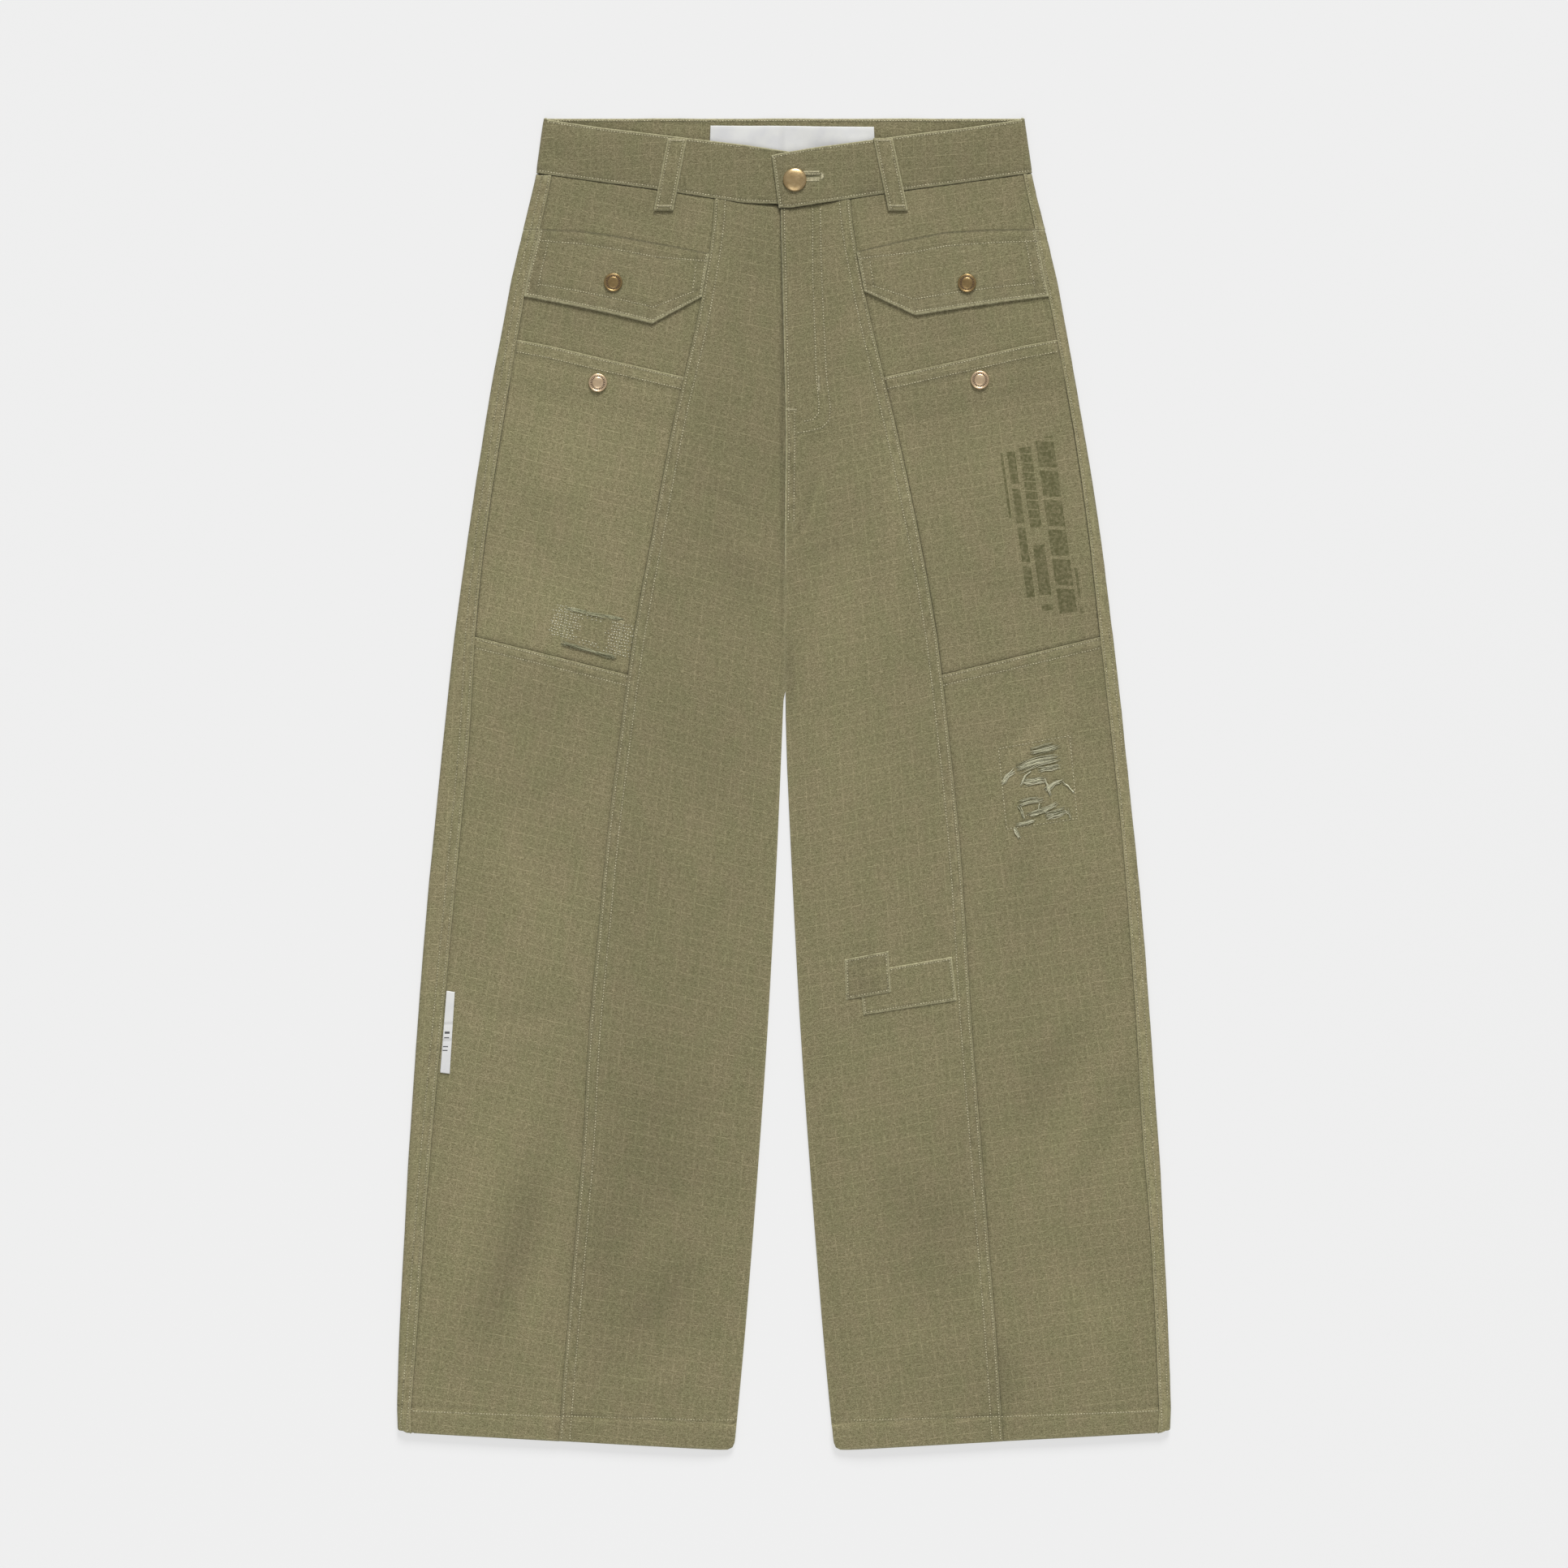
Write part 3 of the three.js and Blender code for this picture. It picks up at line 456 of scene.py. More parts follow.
# ------------------------------------------------------------------- reading a piece's frame
# Each cloth piece follows its CAD node: the four edges of its outside face, its height, and the
# thickness of its wall. Edges run from the inside of the leg outwards, and from the top down.
FLAT = 0.88                  # a face counts as lying flat when its normal is at least this upright
CLEAR = 50                   # well above or below the garment
MIDDLE = 4                   # about half way up it
INSET = 0.12                 # the frame is read this far in from its edges
FRAME_WALL = {"least": 0.8, "usual": 1.2, "most": 2.2}
CLOTH_WALL = 0.25            # how much thinner the real wall is than the frame's


class Curve:
    """A line through points, read by the share of its length."""

    def __init__(self, points):
        self.points = np.array(points)
        gaps = np.linalg.norm(np.diff(self.points, axis=0), axis=1)
        self.length = gaps.sum()
        self.shares = np.concatenate([[0], np.cumsum(gaps)]) / self.length

    def at(self, share):
        columns = [np.interp(share, self.shares, self.points[:, i]) for i in (0, 1)]
        return np.stack(columns, axis=-1)


class Skin:
    """One flat-lying stretch of a node's outside. sign is 1 where it runs outwards along +X, and way
    is 1 where it looks up. Its faces are more upright than `flat` and lie above a height, and
    where they make several patches, the one for which key(points) is the greatest is taken."""

    def __init__(self, node, sign, way=1, flat=0.5, above=-1.0, key=None):
        self.sign, self.way = sign, way
        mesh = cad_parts[node].data
        corners = np.round(np.array([v.co for v in mesh.vertices]) / MM, 3)
        spots, index = np.unique(corners, axis=0, return_inverse=True)
        index = index.ravel()
        faces = [[int(index[i]) for i in f.vertices] for f in mesh.polygons]
        kept = [ring for ring, f in zip(faces, mesh.polygons)
                if f.normal.z * way > flat and f.center.z / MM > above]
        kept = self.one_patch(kept, spots, key or len)
        self.outside = BVHTree.FromPolygons(spots.tolist(), kept)
        self.whole = BVHTree.FromPolygons(spots.tolist(), faces)
        self.find_edges(spots[self.ring(kept, spots)][:, :2])

    @staticmethod
    def one_patch(faces, spots, key):
        """The one patch of touching faces to take."""
        owner = {}

        def root(a):
            while owner.setdefault(a, a) != a:
                owner[a] = owner[owner[a]]
                a = owner[a]
            return a

        for ring in faces:
            for spot in ring[1:]:
                owner[root(spot)] = root(ring[0])
        patches = {}
        for ring in faces:
            patches.setdefault(root(ring[0]), []).append(ring)
        return max(patches.values(), key=lambda p: key(spots[np.unique(np.array(p))]))

    @staticmethod
    def ring(faces, spots):
        """The longest closed edge round the faces, as numbers of spots in order."""
        edges = set()
        for ring in faces:
            for a, b in zip(ring, ring[1:] + ring[:1]):
                if (b, a) in edges:
                    edges.remove((b, a))
                else:
                    edges.add((a, b))
        following = dict(edges)
        loops = []
        while following:
            start, at = following.popitem()
            loop = [start]
            while at != start:
                loop.append(at)
                at = following.pop(at)
            loops.append(loop)
        return max(loops, key=lambda loop: np.ptp(spots[loop], axis=0).sum())

    def find_edges(self, ring):
        """The four sides, between the corners that reach furthest each way."""
        across, up = ring[:, 0] * self.sign, ring[:, 1]
        top_in, top_out, foot_out, foot_in = [
            int(np.argmax(out * across + high * up)) for out, high in ((-1, 1), (1, 1), (1, -1), (-1, -1))]

        def stretch(start, stop, avoid):
            for step in (1, -1):
                walk = [start]
                while walk[-1] != stop:
                    walk.append((walk[-1] + step) % len(ring))
                if not set(walk) & set(avoid):
                    return Curve(ring[walk])

        self.top = stretch(top_in, top_out, (foot_in, foot_out))
        self.foot = stretch(foot_in, foot_out, (top_in, top_out))
        self.inner = stretch(top_in, foot_in, (top_out, foot_out))
        self.outer = stretch(top_out, foot_out, (top_in, foot_in))
        self.length = (self.inner.length + self.outer.length) / 2
        self.corners = ring[[top_in, top_out, foot_in, foot_out]]

    def width(self, t):
        """How wide it is at t down from the top edge."""
        v = np.clip(t / self.length, 0, 1)
        return np.linalg.norm(self.outer.at(v) - self.inner.at(v), axis=-1)

    def plan(self, s, t):
        """x and y at s in from the inner edge and t down from the top edge, or just beyond them."""
        v = np.clip(t / self.length, 0, 1)
        inner, outer = self.inner.at(v), self.outer.at(v)
        width = np.linalg.norm(outer - inner, axis=-1)
        u = np.clip(s / width, 0, 1)
        top, foot = self.top.at(u), self.foot.at(u)
        a, b, c, d = self.corners
        wide, tall = u[..., None], v[..., None]
        spot = (1 - tall) * top + tall * foot + (1 - wide) * inner + wide * outer
        spot -= (1 - tall) * ((1 - wide) * a + wide * b) + tall * ((1 - wide) * c + wide * d)
        spot += ((s - u * width) / width)[..., None] * (outer - inner)
        down = foot - top
        down /= np.linalg.norm(down, axis=-1)[..., None]
        return spot + (t - v * self.length)[..., None] * down

    def heights(self, s, t):
        """Height of the outside, and thickness of the wall under it, from the frame."""
        width = self.width(t)
        spots = self.plan(np.clip(s, INSET, width - INSET), np.clip(t, INSET, self.length - INSET))
        height, wall = np.zeros(s.shape), np.zeros(s.shape)
        towards = Vector((0, 0, -self.way))
        for at in np.ndindex(s.shape):
            x, y = spots[at]
            hit = self.outside.ray_cast(Vector((x, y, CLEAR * self.way)), towards)[0]
            if hit is None:
                hit = self.outside.find_nearest(Vector((x, y, MIDDLE)))[0]
            height[at] = hit.z
            far = self.whole.ray_cast(Vector((x, y, hit.z - 0.05 * self.way)), towards)[0]
            wall[at] = abs(hit.z - far.z) if far else FRAME_WALL["usual"]
        return height, np.clip(wall, FRAME_WALL["least"], FRAME_WALL["most"]) - CLOTH_WALL


# Ways to finish an edge: distances in from it, and how far the cloth has gone in there. Beyond
# 0 it reaches past the frame's edge: a lapped edge over its neighbour, a tucked one under it.
FINISHES = {
    "lapped": [(-0.25, 0.8), (0.05, 0.3), (0.5, 0.07), (1.3, 0.0)],
    "tucked": [(-2.2, 1.6), (-0.6, 1.2), (0.15, 0.45), (0.9, 0.0)],
    "turned": [(-0.2, 0.9), (0.1, 0.35), (0.7, 0.08), (1.6, 0.0)],
    "joined": [(-0.3, 0.4), (0.2, 0.15), (0.8, 0.0)],
    "seamed": [(-0.3, 1.7), (0.3, 1.1), (1.2, 0.35), (2.6, 0.0)],
    "slipped": [(-2.2, 2.7), (-0.6, 2.2), (0.2, 0.9), (1.4, 0.25), (3.0, 0.0)],
    "cut": [(0.0, 0.3), (0.25, 0.1), (0.7, 0.0)],
}
FINISH_WEAR = {"lapped": 1.0, "turned": 0.7, "cut": 0.8, "joined": 0.25, "tucked": 0.0,
               "seamed": 0.0, "slipped": 0.0}
SEAM_SHADOW = {"tucked": 0.4, "slipped": 0.4, "seamed": 1.5}     # painted shadow at the seam for these finishes: how dark it is
SHADOW_WIDTH = 0.95          # of the painted shadow line at a seam and along a row of stitches
GROOVE = {"depth": 0.24, "width": 0.75, "shade": 0.3}    # a row of stitches pulls the cloth down, with painted shade along it
PUCKER = {"height": 0.3, "shade": 0.22, "wear": 0.3, "reach": 4.5}     # and gathers it beside it, with painted light and shade on the gathers and some wear
STITCH_PITCH = 2.2
SIDES = ("inner", "outer", "top", "foot")


def stitched(offset, far=None, start=0.0, stop=1.0, trim=0.6):
    """A row of stitches along an edge, by its distance in at the edge's start and at its end,
    over a share of the edge's length, and short of both of those places by `trim`."""
    return {"near": offset, "far": offset if far is None else far, "start": start, "stop": stop,
            "trim": trim}


def edge(finish, rows=(), below=None, wear=1.0, extra=(), step=None, lip=1.0):
    """How one edge is finished. `below` is another finish and the height under which it takes
    over, `extra` are more distances in at which the mesh needs points, and `step` is the turned
    allowance inside, which shows as a soft step in the cloth. `lip` is how wide its wear is."""
    return {"finish": finish, "rows": list(rows), "below": below, "wear": wear, "extra": extra,
            "step": step, "lip": lip}


def all_round(finish, sides=SIDES, **how):
    """The same finish on every side."""
    return {key: edge(finish, **how) for key in sides}


def edge_stations(side):
    """Distances in from an edge at which the mesh has a row of points."""
    near = {d for d, _ in FINISHES[side["finish"]]} | set(side["extra"])
    if side["below"]:
        near |= {d for d, _ in FINISHES[side["below"][0]]}
    for row in side["rows"]:
        if row["near"] == row["far"]:
            near |= {row["near"] - 0.9, row["near"], row["near"] + 0.9}
    kept = []
    for d in sorted(near):
        if not kept or d - kept[-1] > 0.24:
            kept.append(d)
    return kept


def edge_effect(side, away, share, y, seed):
    """(rise, wear, shade) that one edge gives to the cloth at these distances in from it. Its shade is
    painted: shadow at seams and along rows of stitches, light and shade on the gathers.
    """
    finish = side["finish"]
    rise = -np.interp(away, *zip(*FINISHES[finish]))
    inside = np.maximum(away, 0)
    wear = side["wear"] * FINISH_WEAR[finish] * rounded(inside, side["lip"])
    shade = -SEAM_SHADOW.get(finish, 0) * rounded(inside, SHADOW_WIDTH)
    if side["below"]:
        finish, level = side["below"]
        lower = 1 - smooth_step(y, level - 14, level + 6)
        rise = rise * (1 - lower) - np.interp(away, *zip(*FINISHES[finish])) * lower
        shade = shade * (1 - lower)
        wear = wear * (1 - lower) + FINISH_WEAR[finish] * lower * rounded(inside, 1.0)
    if side["step"]:
        step = side["step"]
        hard = 1 - np.clip((away - step["start"]) / (step["stop"] - step["start"]), 0, 1)
        soft = 1 - smooth_step(away, step["start"] - step["soften"], step["stop"] + step["soften"])
        rise = rise + step["rise"] * (soft * 0.8 - hard)
    length = share * side["length"]
    for row in side["rows"]:
        off = away - (row["near"] + (row["far"] - row["near"]) * share)
        on = smooth_step(share, row["start"] - 0.01, row["start"]) * smooth_step(
            1 - share, 0.99 - row["stop"], 1 - row["stop"])
        rise = rise - GROOVE["depth"] * on * rounded(off, GROOVE["width"])
        shade = shade - GROOVE["shade"] * on * rounded(off, SHADOW_WIDTH)
        near = on * rounded(off, PUCKER["reach"]) * 0.7
        rise = rise + PUCKER["height"] * near * lumps(length, away * 1.3, 7.5, seed)
        shade = shade + PUCKER["shade"] * near * lumps(length, away * 2, 4.5, seed + 50)
        wear = wear + PUCKER["wear"] * near * np.clip(lumps(length, away * 2.4, 5.0, seed + 90), 0, 1)
    return rise, wear, shade


def spaced(length, first, last, cell, count=None):
    """Distances along a length: the first ones, even steps, and the last ones."""
    start, stop = first[-1], length - last[-1]
    if count is None:
        count = max(1, int(round((stop - start) / cell)))
    even = start + (stop - start) * np.arange(1, count) / count
    return np.concatenate([first, even, length - np.array(last[::-1])]), count


def cloth_from_points(name, points, wall, grain, wear, shade, material, upward):
    """A thin shell whose outside passes through a grid of points, one row after another. upward
    is 1 or -1, as the outside of its first point looks up or down."""
    rows, columns = points.shape[:2]
    bpy.ops.object.select_all(action="DESELECT")
    bpy.ops.mesh.primitive_grid_add(x_subdivisions=columns - 1, y_subdivisions=rows - 1, size=1)
    piece = bpy.context.object
    piece.name = name
    mesh = piece.data
    blank = np.empty(len(mesh.vertices) * 3)
    mesh.vertices.foreach_get("co", blank)
    blank = blank.reshape(-1, 3)
    column = np.rint((blank[:, 0] + 0.5) * (columns - 1)).astype(int)
    row = np.rint((0.5 - blank[:, 1]) * (rows - 1)).astype(int)
    mesh.vertices.foreach_set("co", (points[row, column] * MM).ravel())
    mesh.update()

    corners = np.empty(len(mesh.loops), int)
    mesh.loops.foreach_get("vertex_index", corners)
    chart = mesh.uv_layers[0]
    chart.name = "grain"
    chart.data.foreach_set("uv", (grain[row, column][corners] * MM).ravel())
    for key, values in (("wear", wear), ("shade", shade)):
        layer = mesh.attributes.new(key, "FLOAT", "POINT")
        layer.data.foreach_set("value", values[row, column].astype(np.float32))
    across = points[rows // 2, 4] - points[rows // 2, 3]
    down = points[rows // 2 + 1, 3] - points[rows // 2, 3]
    if np.cross(down, across)[2] * upward < 0:
        mesh.flip_normals()

    full = float(wall.max())
    group = piece.vertex_groups.new(name="wall")
    weights = np.round(wall[row, column] / full, 2)
    for weight in np.unique(weights):
        group.add(np.flatnonzero(weights == weight).tolist(), float(weight), "REPLACE")
    solid = piece.modifiers.new("wall", "SOLIDIFY")
    solid.thickness = full * MM
    solid.offset = -1
    solid.vertex_group = "wall"
    bpy.ops.object.modifier_apply(modifier="wall")
    bpy.ops.object.shade_smooth_by_angle(angle=math.radians(50))
    mesh.materials.append(material)
    return piece


# The yarns' run: how steeply the weft rises outwards and the warp leans outwards on its way down,
# in degrees, by height. The legs aren't cut quite alike.
GRAIN = {
    "centre_left": [
        {"y": 460, "weft": 8, "warp": 2}, {"y": 260, "weft": 13, "warp": 8},
        {"y": 0, "weft": 12.5, "warp": 4}, {"y": -300, "weft": 10, "warp": 6},
        {"y": -520, "weft": 7, "warp": 9},
    ],
    "centre_right": [
        {"y": 460, "weft": 9, "warp": 1}, {"y": 260, "weft": 15, "warp": 8},
        {"y": 0, "weft": 15, "warp": 6}, {"y": -300, "weft": 10, "warp": 5},
        {"y": -520, "weft": 6, "warp": 7},
    ],
    "side_left": [{"y": 400, "weft": 9.5, "warp": 8}, {"y": -520, "weft": 8, "warp": 8}],
    "side_right": [
        {"y": 400, "weft": 12, "warp": 10}, {"y": 60, "weft": 15, "warp": 9},
        {"y": -300, "weft": 13, "warp": 9}, {"y": -520, "weft": 7, "warp": 9},
    ],
    "band": [{"y": 520, "weft": 4, "warp": 2}, {"y": 450, "weft": 4, "warp": 2}],
    "straight": [{"y": 500, "weft": 2, "warp": 3}, {"y": -500, "weft": 2, "warp": 3}],
}


def grain_of(points, run, sign):
    """Each point's place on the cloth before it was sewn, along the weft and along the warp."""
    x, y = points[..., 0] * sign, points[..., 1]
    table = sorted(GRAIN[run], key=lambda row: row["y"])
    heights = [row["y"] for row in table]
    weft = np.radians(np.interp(y, heights, [row["weft"] for row in table]))
    levels = np.linspace(-600, 600, 241)
    leans = np.tan(np.radians(np.interp(levels, heights, [row["warp"] for row in table])))
    run_out = np.interp(y, levels, np.cumsum(leans) * (levels[1] - levels[0]))
    return np.stack([x + run_out, y - np.tan(weft) * (x - x.mean())], axis=-1)


BRIDGED = 1.4                # how far a small piece bridges the steps of what it lies on
PATCH_GAP = 0.1


def settled(tree, x, y):
    """The height at which a small piece lies on what is under it at x, y."""
    near = [(x, y)] + [(x + dx, y + dy) for dx, dy in (
        (BRIDGED, 0), (-BRIDGED, 0), (0, BRIDGED), (0, -BRIDGED))]
    heights = [laid_on(tree, zip(px.ravel(), py.ravel()))[:, 2] for px, py in near]
    return np.mean(heights, axis=0).reshape(x.shape) + PATCH_GAP


CELL = 2.9                   # the front's mesh
TONES = {                    # panels cut from a lighter or darker stretch of the cloth
    "thigh_pocket_right": 0.17, "side_lower_right": 0.1, "pocket_flap_right": -0.03,
    "pocket_flap_left": -0.03, "front_centre_right": -0.03, "knee_patch_large": -0.02,
    "knee_patch_small": -0.16,
}
LEGS_PART = 72               # the height below which the table shows between the legs
FREE = (2.6, 5.2)            # cloth rises and falls fully above these heights and not at all below
TROUGH_SHADE = 0.15          # painted shade in a trough and painted light on a ridge, for a millimetre of depth


class Panel:
    """A piece of cloth that lies flat, with a finish for each of its sides. `fine` is a stretch
    down it with a closer mesh, and `on` is what it lies on, if it is small and follows that."""

    def __init__(self, node, sign, edges, seed, relief=None, fine=None, flat=0.5, way=1, on=None):
        self.skin = Skin(node, sign, way=way, flat=flat)
        self.edges, self.seed, self.relief, self.fine = edges, seed, relief, fine
        self.tone, self.on = TONES.get(node, 0.0), on
        for key in edges:
            edges[key]["length"] = getattr(self.skin, key).length

    def surface(self, s, t):
        """Points, wall, wear and shade at s in from the inner edge and t down from the top."""
        skin = self.skin
        width = skin.width(t)
        spots = skin.plan(s, t)
        if self.edges["inner"]["below"]:
            apart = smooth_step(LEGS_PART - spots[..., 1], -5, 7)
            s = np.where(s < 0, s * (1 - 0.85 * apart), s)
            spots = skin.plan(s, t)
        x, y = spots[..., 0], spots[..., 1]
        height, wall = skin.heights(s, t)
        loose = rumple(x, y) * np.clip((height - FREE[0]) / (FREE[1] - FREE[0]), 0, 1) * (skin.way > 0)
        height = settled(self.on, x, y) + wall if self.on else height + loose
        wear, shade = np.zeros(s.shape), TROUGH_SHADE * loose + washed(x, y) * (skin.way > 0) + self.tone
        aways = {"inner": s, "outer": width - s, "top": t, "foot": skin.length - t}
        for i, (key, away) in enumerate(aways.items()):
            share = t / skin.length if key in ("inner", "outer") else s / width
            changes = edge_effect(self.edges[key], away, share, y, self.seed + i)
            height, wear, shade = height + changes[0] * skin.way, wear + changes[1], shade + changes[2]
        if self.relief:
            changes = self.relief(x, y)
            height, wear, shade = height + changes[0], wear + changes[1], shade + changes[2]
        return np.stack([x, y, height], axis=-1), wall, wear, shade

    def build(self, name, run, cell=CELL, material=ripstop):
        """The finished piece, with its yarns' run and the step of its mesh."""
        skin = self.skin
        stations = {key: edge_stations(side) for key, side in self.edges.items()}
        ts, _ = spaced(skin.length, stations["top"], stations["foot"], cell)
        if self.fine:
            start, stop, step = self.fine
            ts = np.sort(np.concatenate([ts[(ts < start) | (ts > stop)], np.arange(start, stop, step)]))
        middle = float(skin.width(np.array(skin.length / 2)))
        _, count = spaced(middle, stations["inner"], stations["outer"], cell)
        s = np.array([spaced(float(w), stations["inner"], stations["outer"], cell, count)[0]
                      for w in skin.width(ts)])
        t = np.repeat(ts[:, None], s.shape[1], axis=1)
        points, wall, wear, shade = self.surface(s, t)
        grain = grain_of(points, run, skin.sign)
        return cloth_from_points(name, points, wall, grain, wear, shade, material, skin.way)

    def row(self, key, row):
        """The points of a row of stitches along an edge, a stitch apart."""
        skin, length = self.skin, self.edges[key]["length"]
        start, stop = row["start"] * length + row["trim"], row["stop"] * length - row["trim"]
        share = np.arange(start, stop, STITCH_PITCH) / length
        away = row["near"] + (row["far"] - row["near"]) * share
        if key in ("inner", "outer"):
            t = share * skin.length
            s = away if key == "inner" else skin.width(t) - away
        else:
            t = away if key == "top" else skin.length - away
            s = share * skin.width(t)
        return self.surface(s, t)[0]

    def across(self, down, trim, pitch):
        """Points across the piece, at one distance down from its top."""
        width = float(self.skin.width(np.array(down)))
        s = np.arange(trim, width - trim, pitch)
        return self.surface(s, np.full(s.shape, float(down)))[0]

    def rows(self):
        """Every row of stitches along its sides."""
        return [self.row(key, row) for key, side in self.edges.items() for row in side["rows"]]


def top_of(*pieces, way=1):
    """The upper faces of finished pieces, or the lower ones if way is -1, for laying things on."""
    spots, faces = [], []
    for piece in pieces:
        base = len(spots)
        spots += [tuple(v.co / MM) for v in piece.data.vertices]
        faces += [[base + i for i in f.vertices] for f in piece.data.polygons if f.normal.z * way > 0.2]
    return BVHTree.FromPolygons(spots, faces)


OVERHEAD = 60                # above every piece
USUAL_FRONT = 5.5            # the height of the front where nothing is found


def laid_on(tree, spots):
    """Points at these places in plan, at the height of what is under them."""
    points = []
    for x, y in spots:
        hit = tree.ray_cast(Vector((x, y, OVERHEAD)), Vector((0, 0, -1)))[0]
        points.append((x, y, hit.z if hit else USUAL_FRONT))
    return np.array(points)


def stepped(path, pitch):
    """Points a pitch apart along a path of corners."""
    curve = Curve(path)
    return curve.at(np.arange(0.5 * pitch, curve.length, pitch) / curve.length)


def grooves(x, y, paths, depth=GROOVE["depth"], width=0.8):
    """(rise, wear, shade) of rows of stitches along these paths, with painted shade along them."""
    rise, shade = np.zeros(x.shape), np.zeros(x.shape)
    for path in paths:
        row = crease(x, y, path, width, 1.0, 0.03)
        rise, shade = rise - depth * row, shade - GROOVE["shade"] * row
    return rise, np.zeros(x.shape), shade


# --------------------------------------------------------------------------- sewing thread
# Tan polyester thread. One lockstitch is modelled, and each row of a piece is its copies, end to
# end, joined in one mesh with a tone for each stitch, darker at its ends as painted shade.
STITCH = (2.05, 0.95, 0.5)                   # length, width, height
TACK = (2.6, 0.55, 0.4)                      # one turn of a bar tack, across its line
TACK_PITCH = 0.62
LIFT = 0.08                                  # a stitch lies this far proud of its cloth
UNEVENNESS = {"swing": 5, "wander": 0.06, "size": (0.86, 1.1), "tone": 0.18}
THREAD_LIGHT = srgb(213, 205, 169)
# the dark tone is also the painted shade at the ends of each stitch
THREAD_DARK = srgb(92, 86, 58)

bpy.ops.object.select_all(action="DESELECT")
bpy.ops.mesh.primitive_uv_sphere_add(segments=6, ring_count=3, radius=0.5)
stitch_model = bpy.context.object
stitch_points = np.array([v.co for v in stitch_model.data.vertices])
stitch_faces = [list(f.vertices) for f in stitch_model.data.polygons]
bpy.data.objects.remove(stitch_model)


def thread_material(name, dark, light):
    """Thread or yarn, whose mesh holds how light each bit of it is."""
    material, tree, surface = new_material(name)
    colour = blend_colours(tree, attribute(tree, "tone"), dark, light)
    tree.links.new(colour, surface.inputs["Base Color"])
    surface.inputs["Roughness"].default_value = 0.75
    surface.inputs["Sheen Weight"].default_value = 0.15
    return material


tan_thread = thread_material("tan thread", THREAD_DARK, THREAD_LIGHT)


def joined_piece(name, spots, faces, tones, material):
    """Many small things as one mesh on the garment, with a tone for each point."""
    mesh = bpy.data.meshes.new(name)
    mesh.from_pydata((spots * MM).tolist(), [], faces)
    layer = mesh.attributes.new("tone", "FLOAT", "POINT")
    layer.data.foreach_set("value", tones.astype(np.float32))
    mesh.polygons.foreach_set("use_smooth", [True] * len(faces))
    mesh.materials.append(material)
    piece = bpy.data.objects.new(name, mesh)
    bpy.context.scene.collection.objects.link(piece)
    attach(piece, "root")
    return piece


def sew(name, rows, size=STITCH, up=1, tone=0.78, tacks=(), material=tan_thread):
    """Stitches at the points of each row, along it, and bar tacks, whose turns lie across it."""
    chance = np.random.default_rng(sum(map(ord, name)))
    centres, alongs, sizes = [], [], []
    for group, shape, angle in ((rows, size, 0.0), (tacks, TACK, 80.0)):
        for points in group:
            if len(points) < 2:
                continue
            ahead = np.gradient(points, axis=0)
            ahead /= np.linalg.norm(ahead, axis=1)[:, None]
            across = np.cross((0, 0, up), ahead)
            swing = np.radians(angle + chance.normal(0, UNEVENNESS["swing"], len(points)))[:, None]
            centres.append(points + across * chance.normal(0, UNEVENNESS["wander"], (len(points), 1)))
            alongs.append(ahead * np.cos(swing) + across * np.sin(swing))
            sizes.append(np.array(shape) * chance.uniform(*UNEVENNESS["size"], (len(points), 1)))
    centres, alongs, sizes = map(np.concatenate, (centres, alongs, sizes))
    centres = centres + np.array((0, 0, up)) * LIFT
    side = np.cross((0, 0, up), alongs)
    side /= np.linalg.norm(side, axis=1)[:, None]
    above = np.cross(alongs, side)
    shape = stitch_points[None] * sizes[:, None]
    spots = (centres[:, None] + shape[..., :1] * alongs[:, None] + shape[..., 1:2] * side[:, None]
             + shape[..., 2:] * above[:, None])
    count = len(stitch_points)
    faces = [[i * count + v for v in face] for i in range(len(centres)) for face in stitch_faces]
    tones = np.clip(chance.normal(tone, UNEVENNESS["tone"], len(centres)), 0, 1)
    # each stitch is painted darker towards its ends, as shade where it goes down into the cloth
    end_shade = np.interp(np.abs(stitch_points[:, 0]), (0.0, 0.22, 0.43), (1.0, 0.85, 0.3))
    return joined_piece(name, spots.reshape(-1, 3), faces, np.outer(tones, end_shade).ravel(), material)


def cloth_facts(piece, nodes):
    """Puts a cloth piece under the root and hides the nodes that it stands for."""
    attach(piece, "root")
    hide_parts(*nodes)


LEGS = {"left": 1, "right": -1}


# --------------------------------------------------------------------- back yokes and panels
# The back of each leg lies on the table, turns round the outer fold and comes a little way onto
# the front, where it is felled over the side panels with twin rows. A yoke is its top part.
FOLD_STEPS = 9
FOLD_SWELL = 0.55            # a pressed fold stands a little fuller than half round
STRIP_ROWS = (1.7, 7.2)
LIFTS_OVER = (2, 26)         # how far in from its edges the back begins to lift, and does fully
RIGHT_LOWER = 22             # the folds of the right leg's back lie lower by this
BACK_FOLDS = [
    {"path": [(40, 380), (90, 340), (150, 330)], "width": 12, "rise": 0.9},
    {"path": [(30, 260), (80, 230), (140, 236)], "width": 10, "rise": 0.8},
    {"path": [(36, 150), (96, 120), (170, 140)], "width": 13, "rise": 1.0},
    {"path": [(110, 30), (170, -20), (220, -90)], "width": 14, "rise": 0.9},
    {"path": [(60, -120), (110, -170), (190, -180)], "width": 12, "rise": 0.8},
    {"path": [(240, -200), (200, -280), (190, -380)], "width": 15, "rise": 1.0},
    {"path": [(90, -300), (130, -370), (110, -450)], "width": 12, "rise": 0.8},
]


def under_rumple(x, y):
    """How far the back's cloth lifts off the table in its creases. It never goes below it."""
    height = 0.25 * np.clip(lumps(x, y, 48, 8), 0, 1)
    for row in BACK_FOLDS:
        height = height + crease(np.abs(x), y + np.where(x > 0, 0, RIGHT_LOWER), **row)
    return height


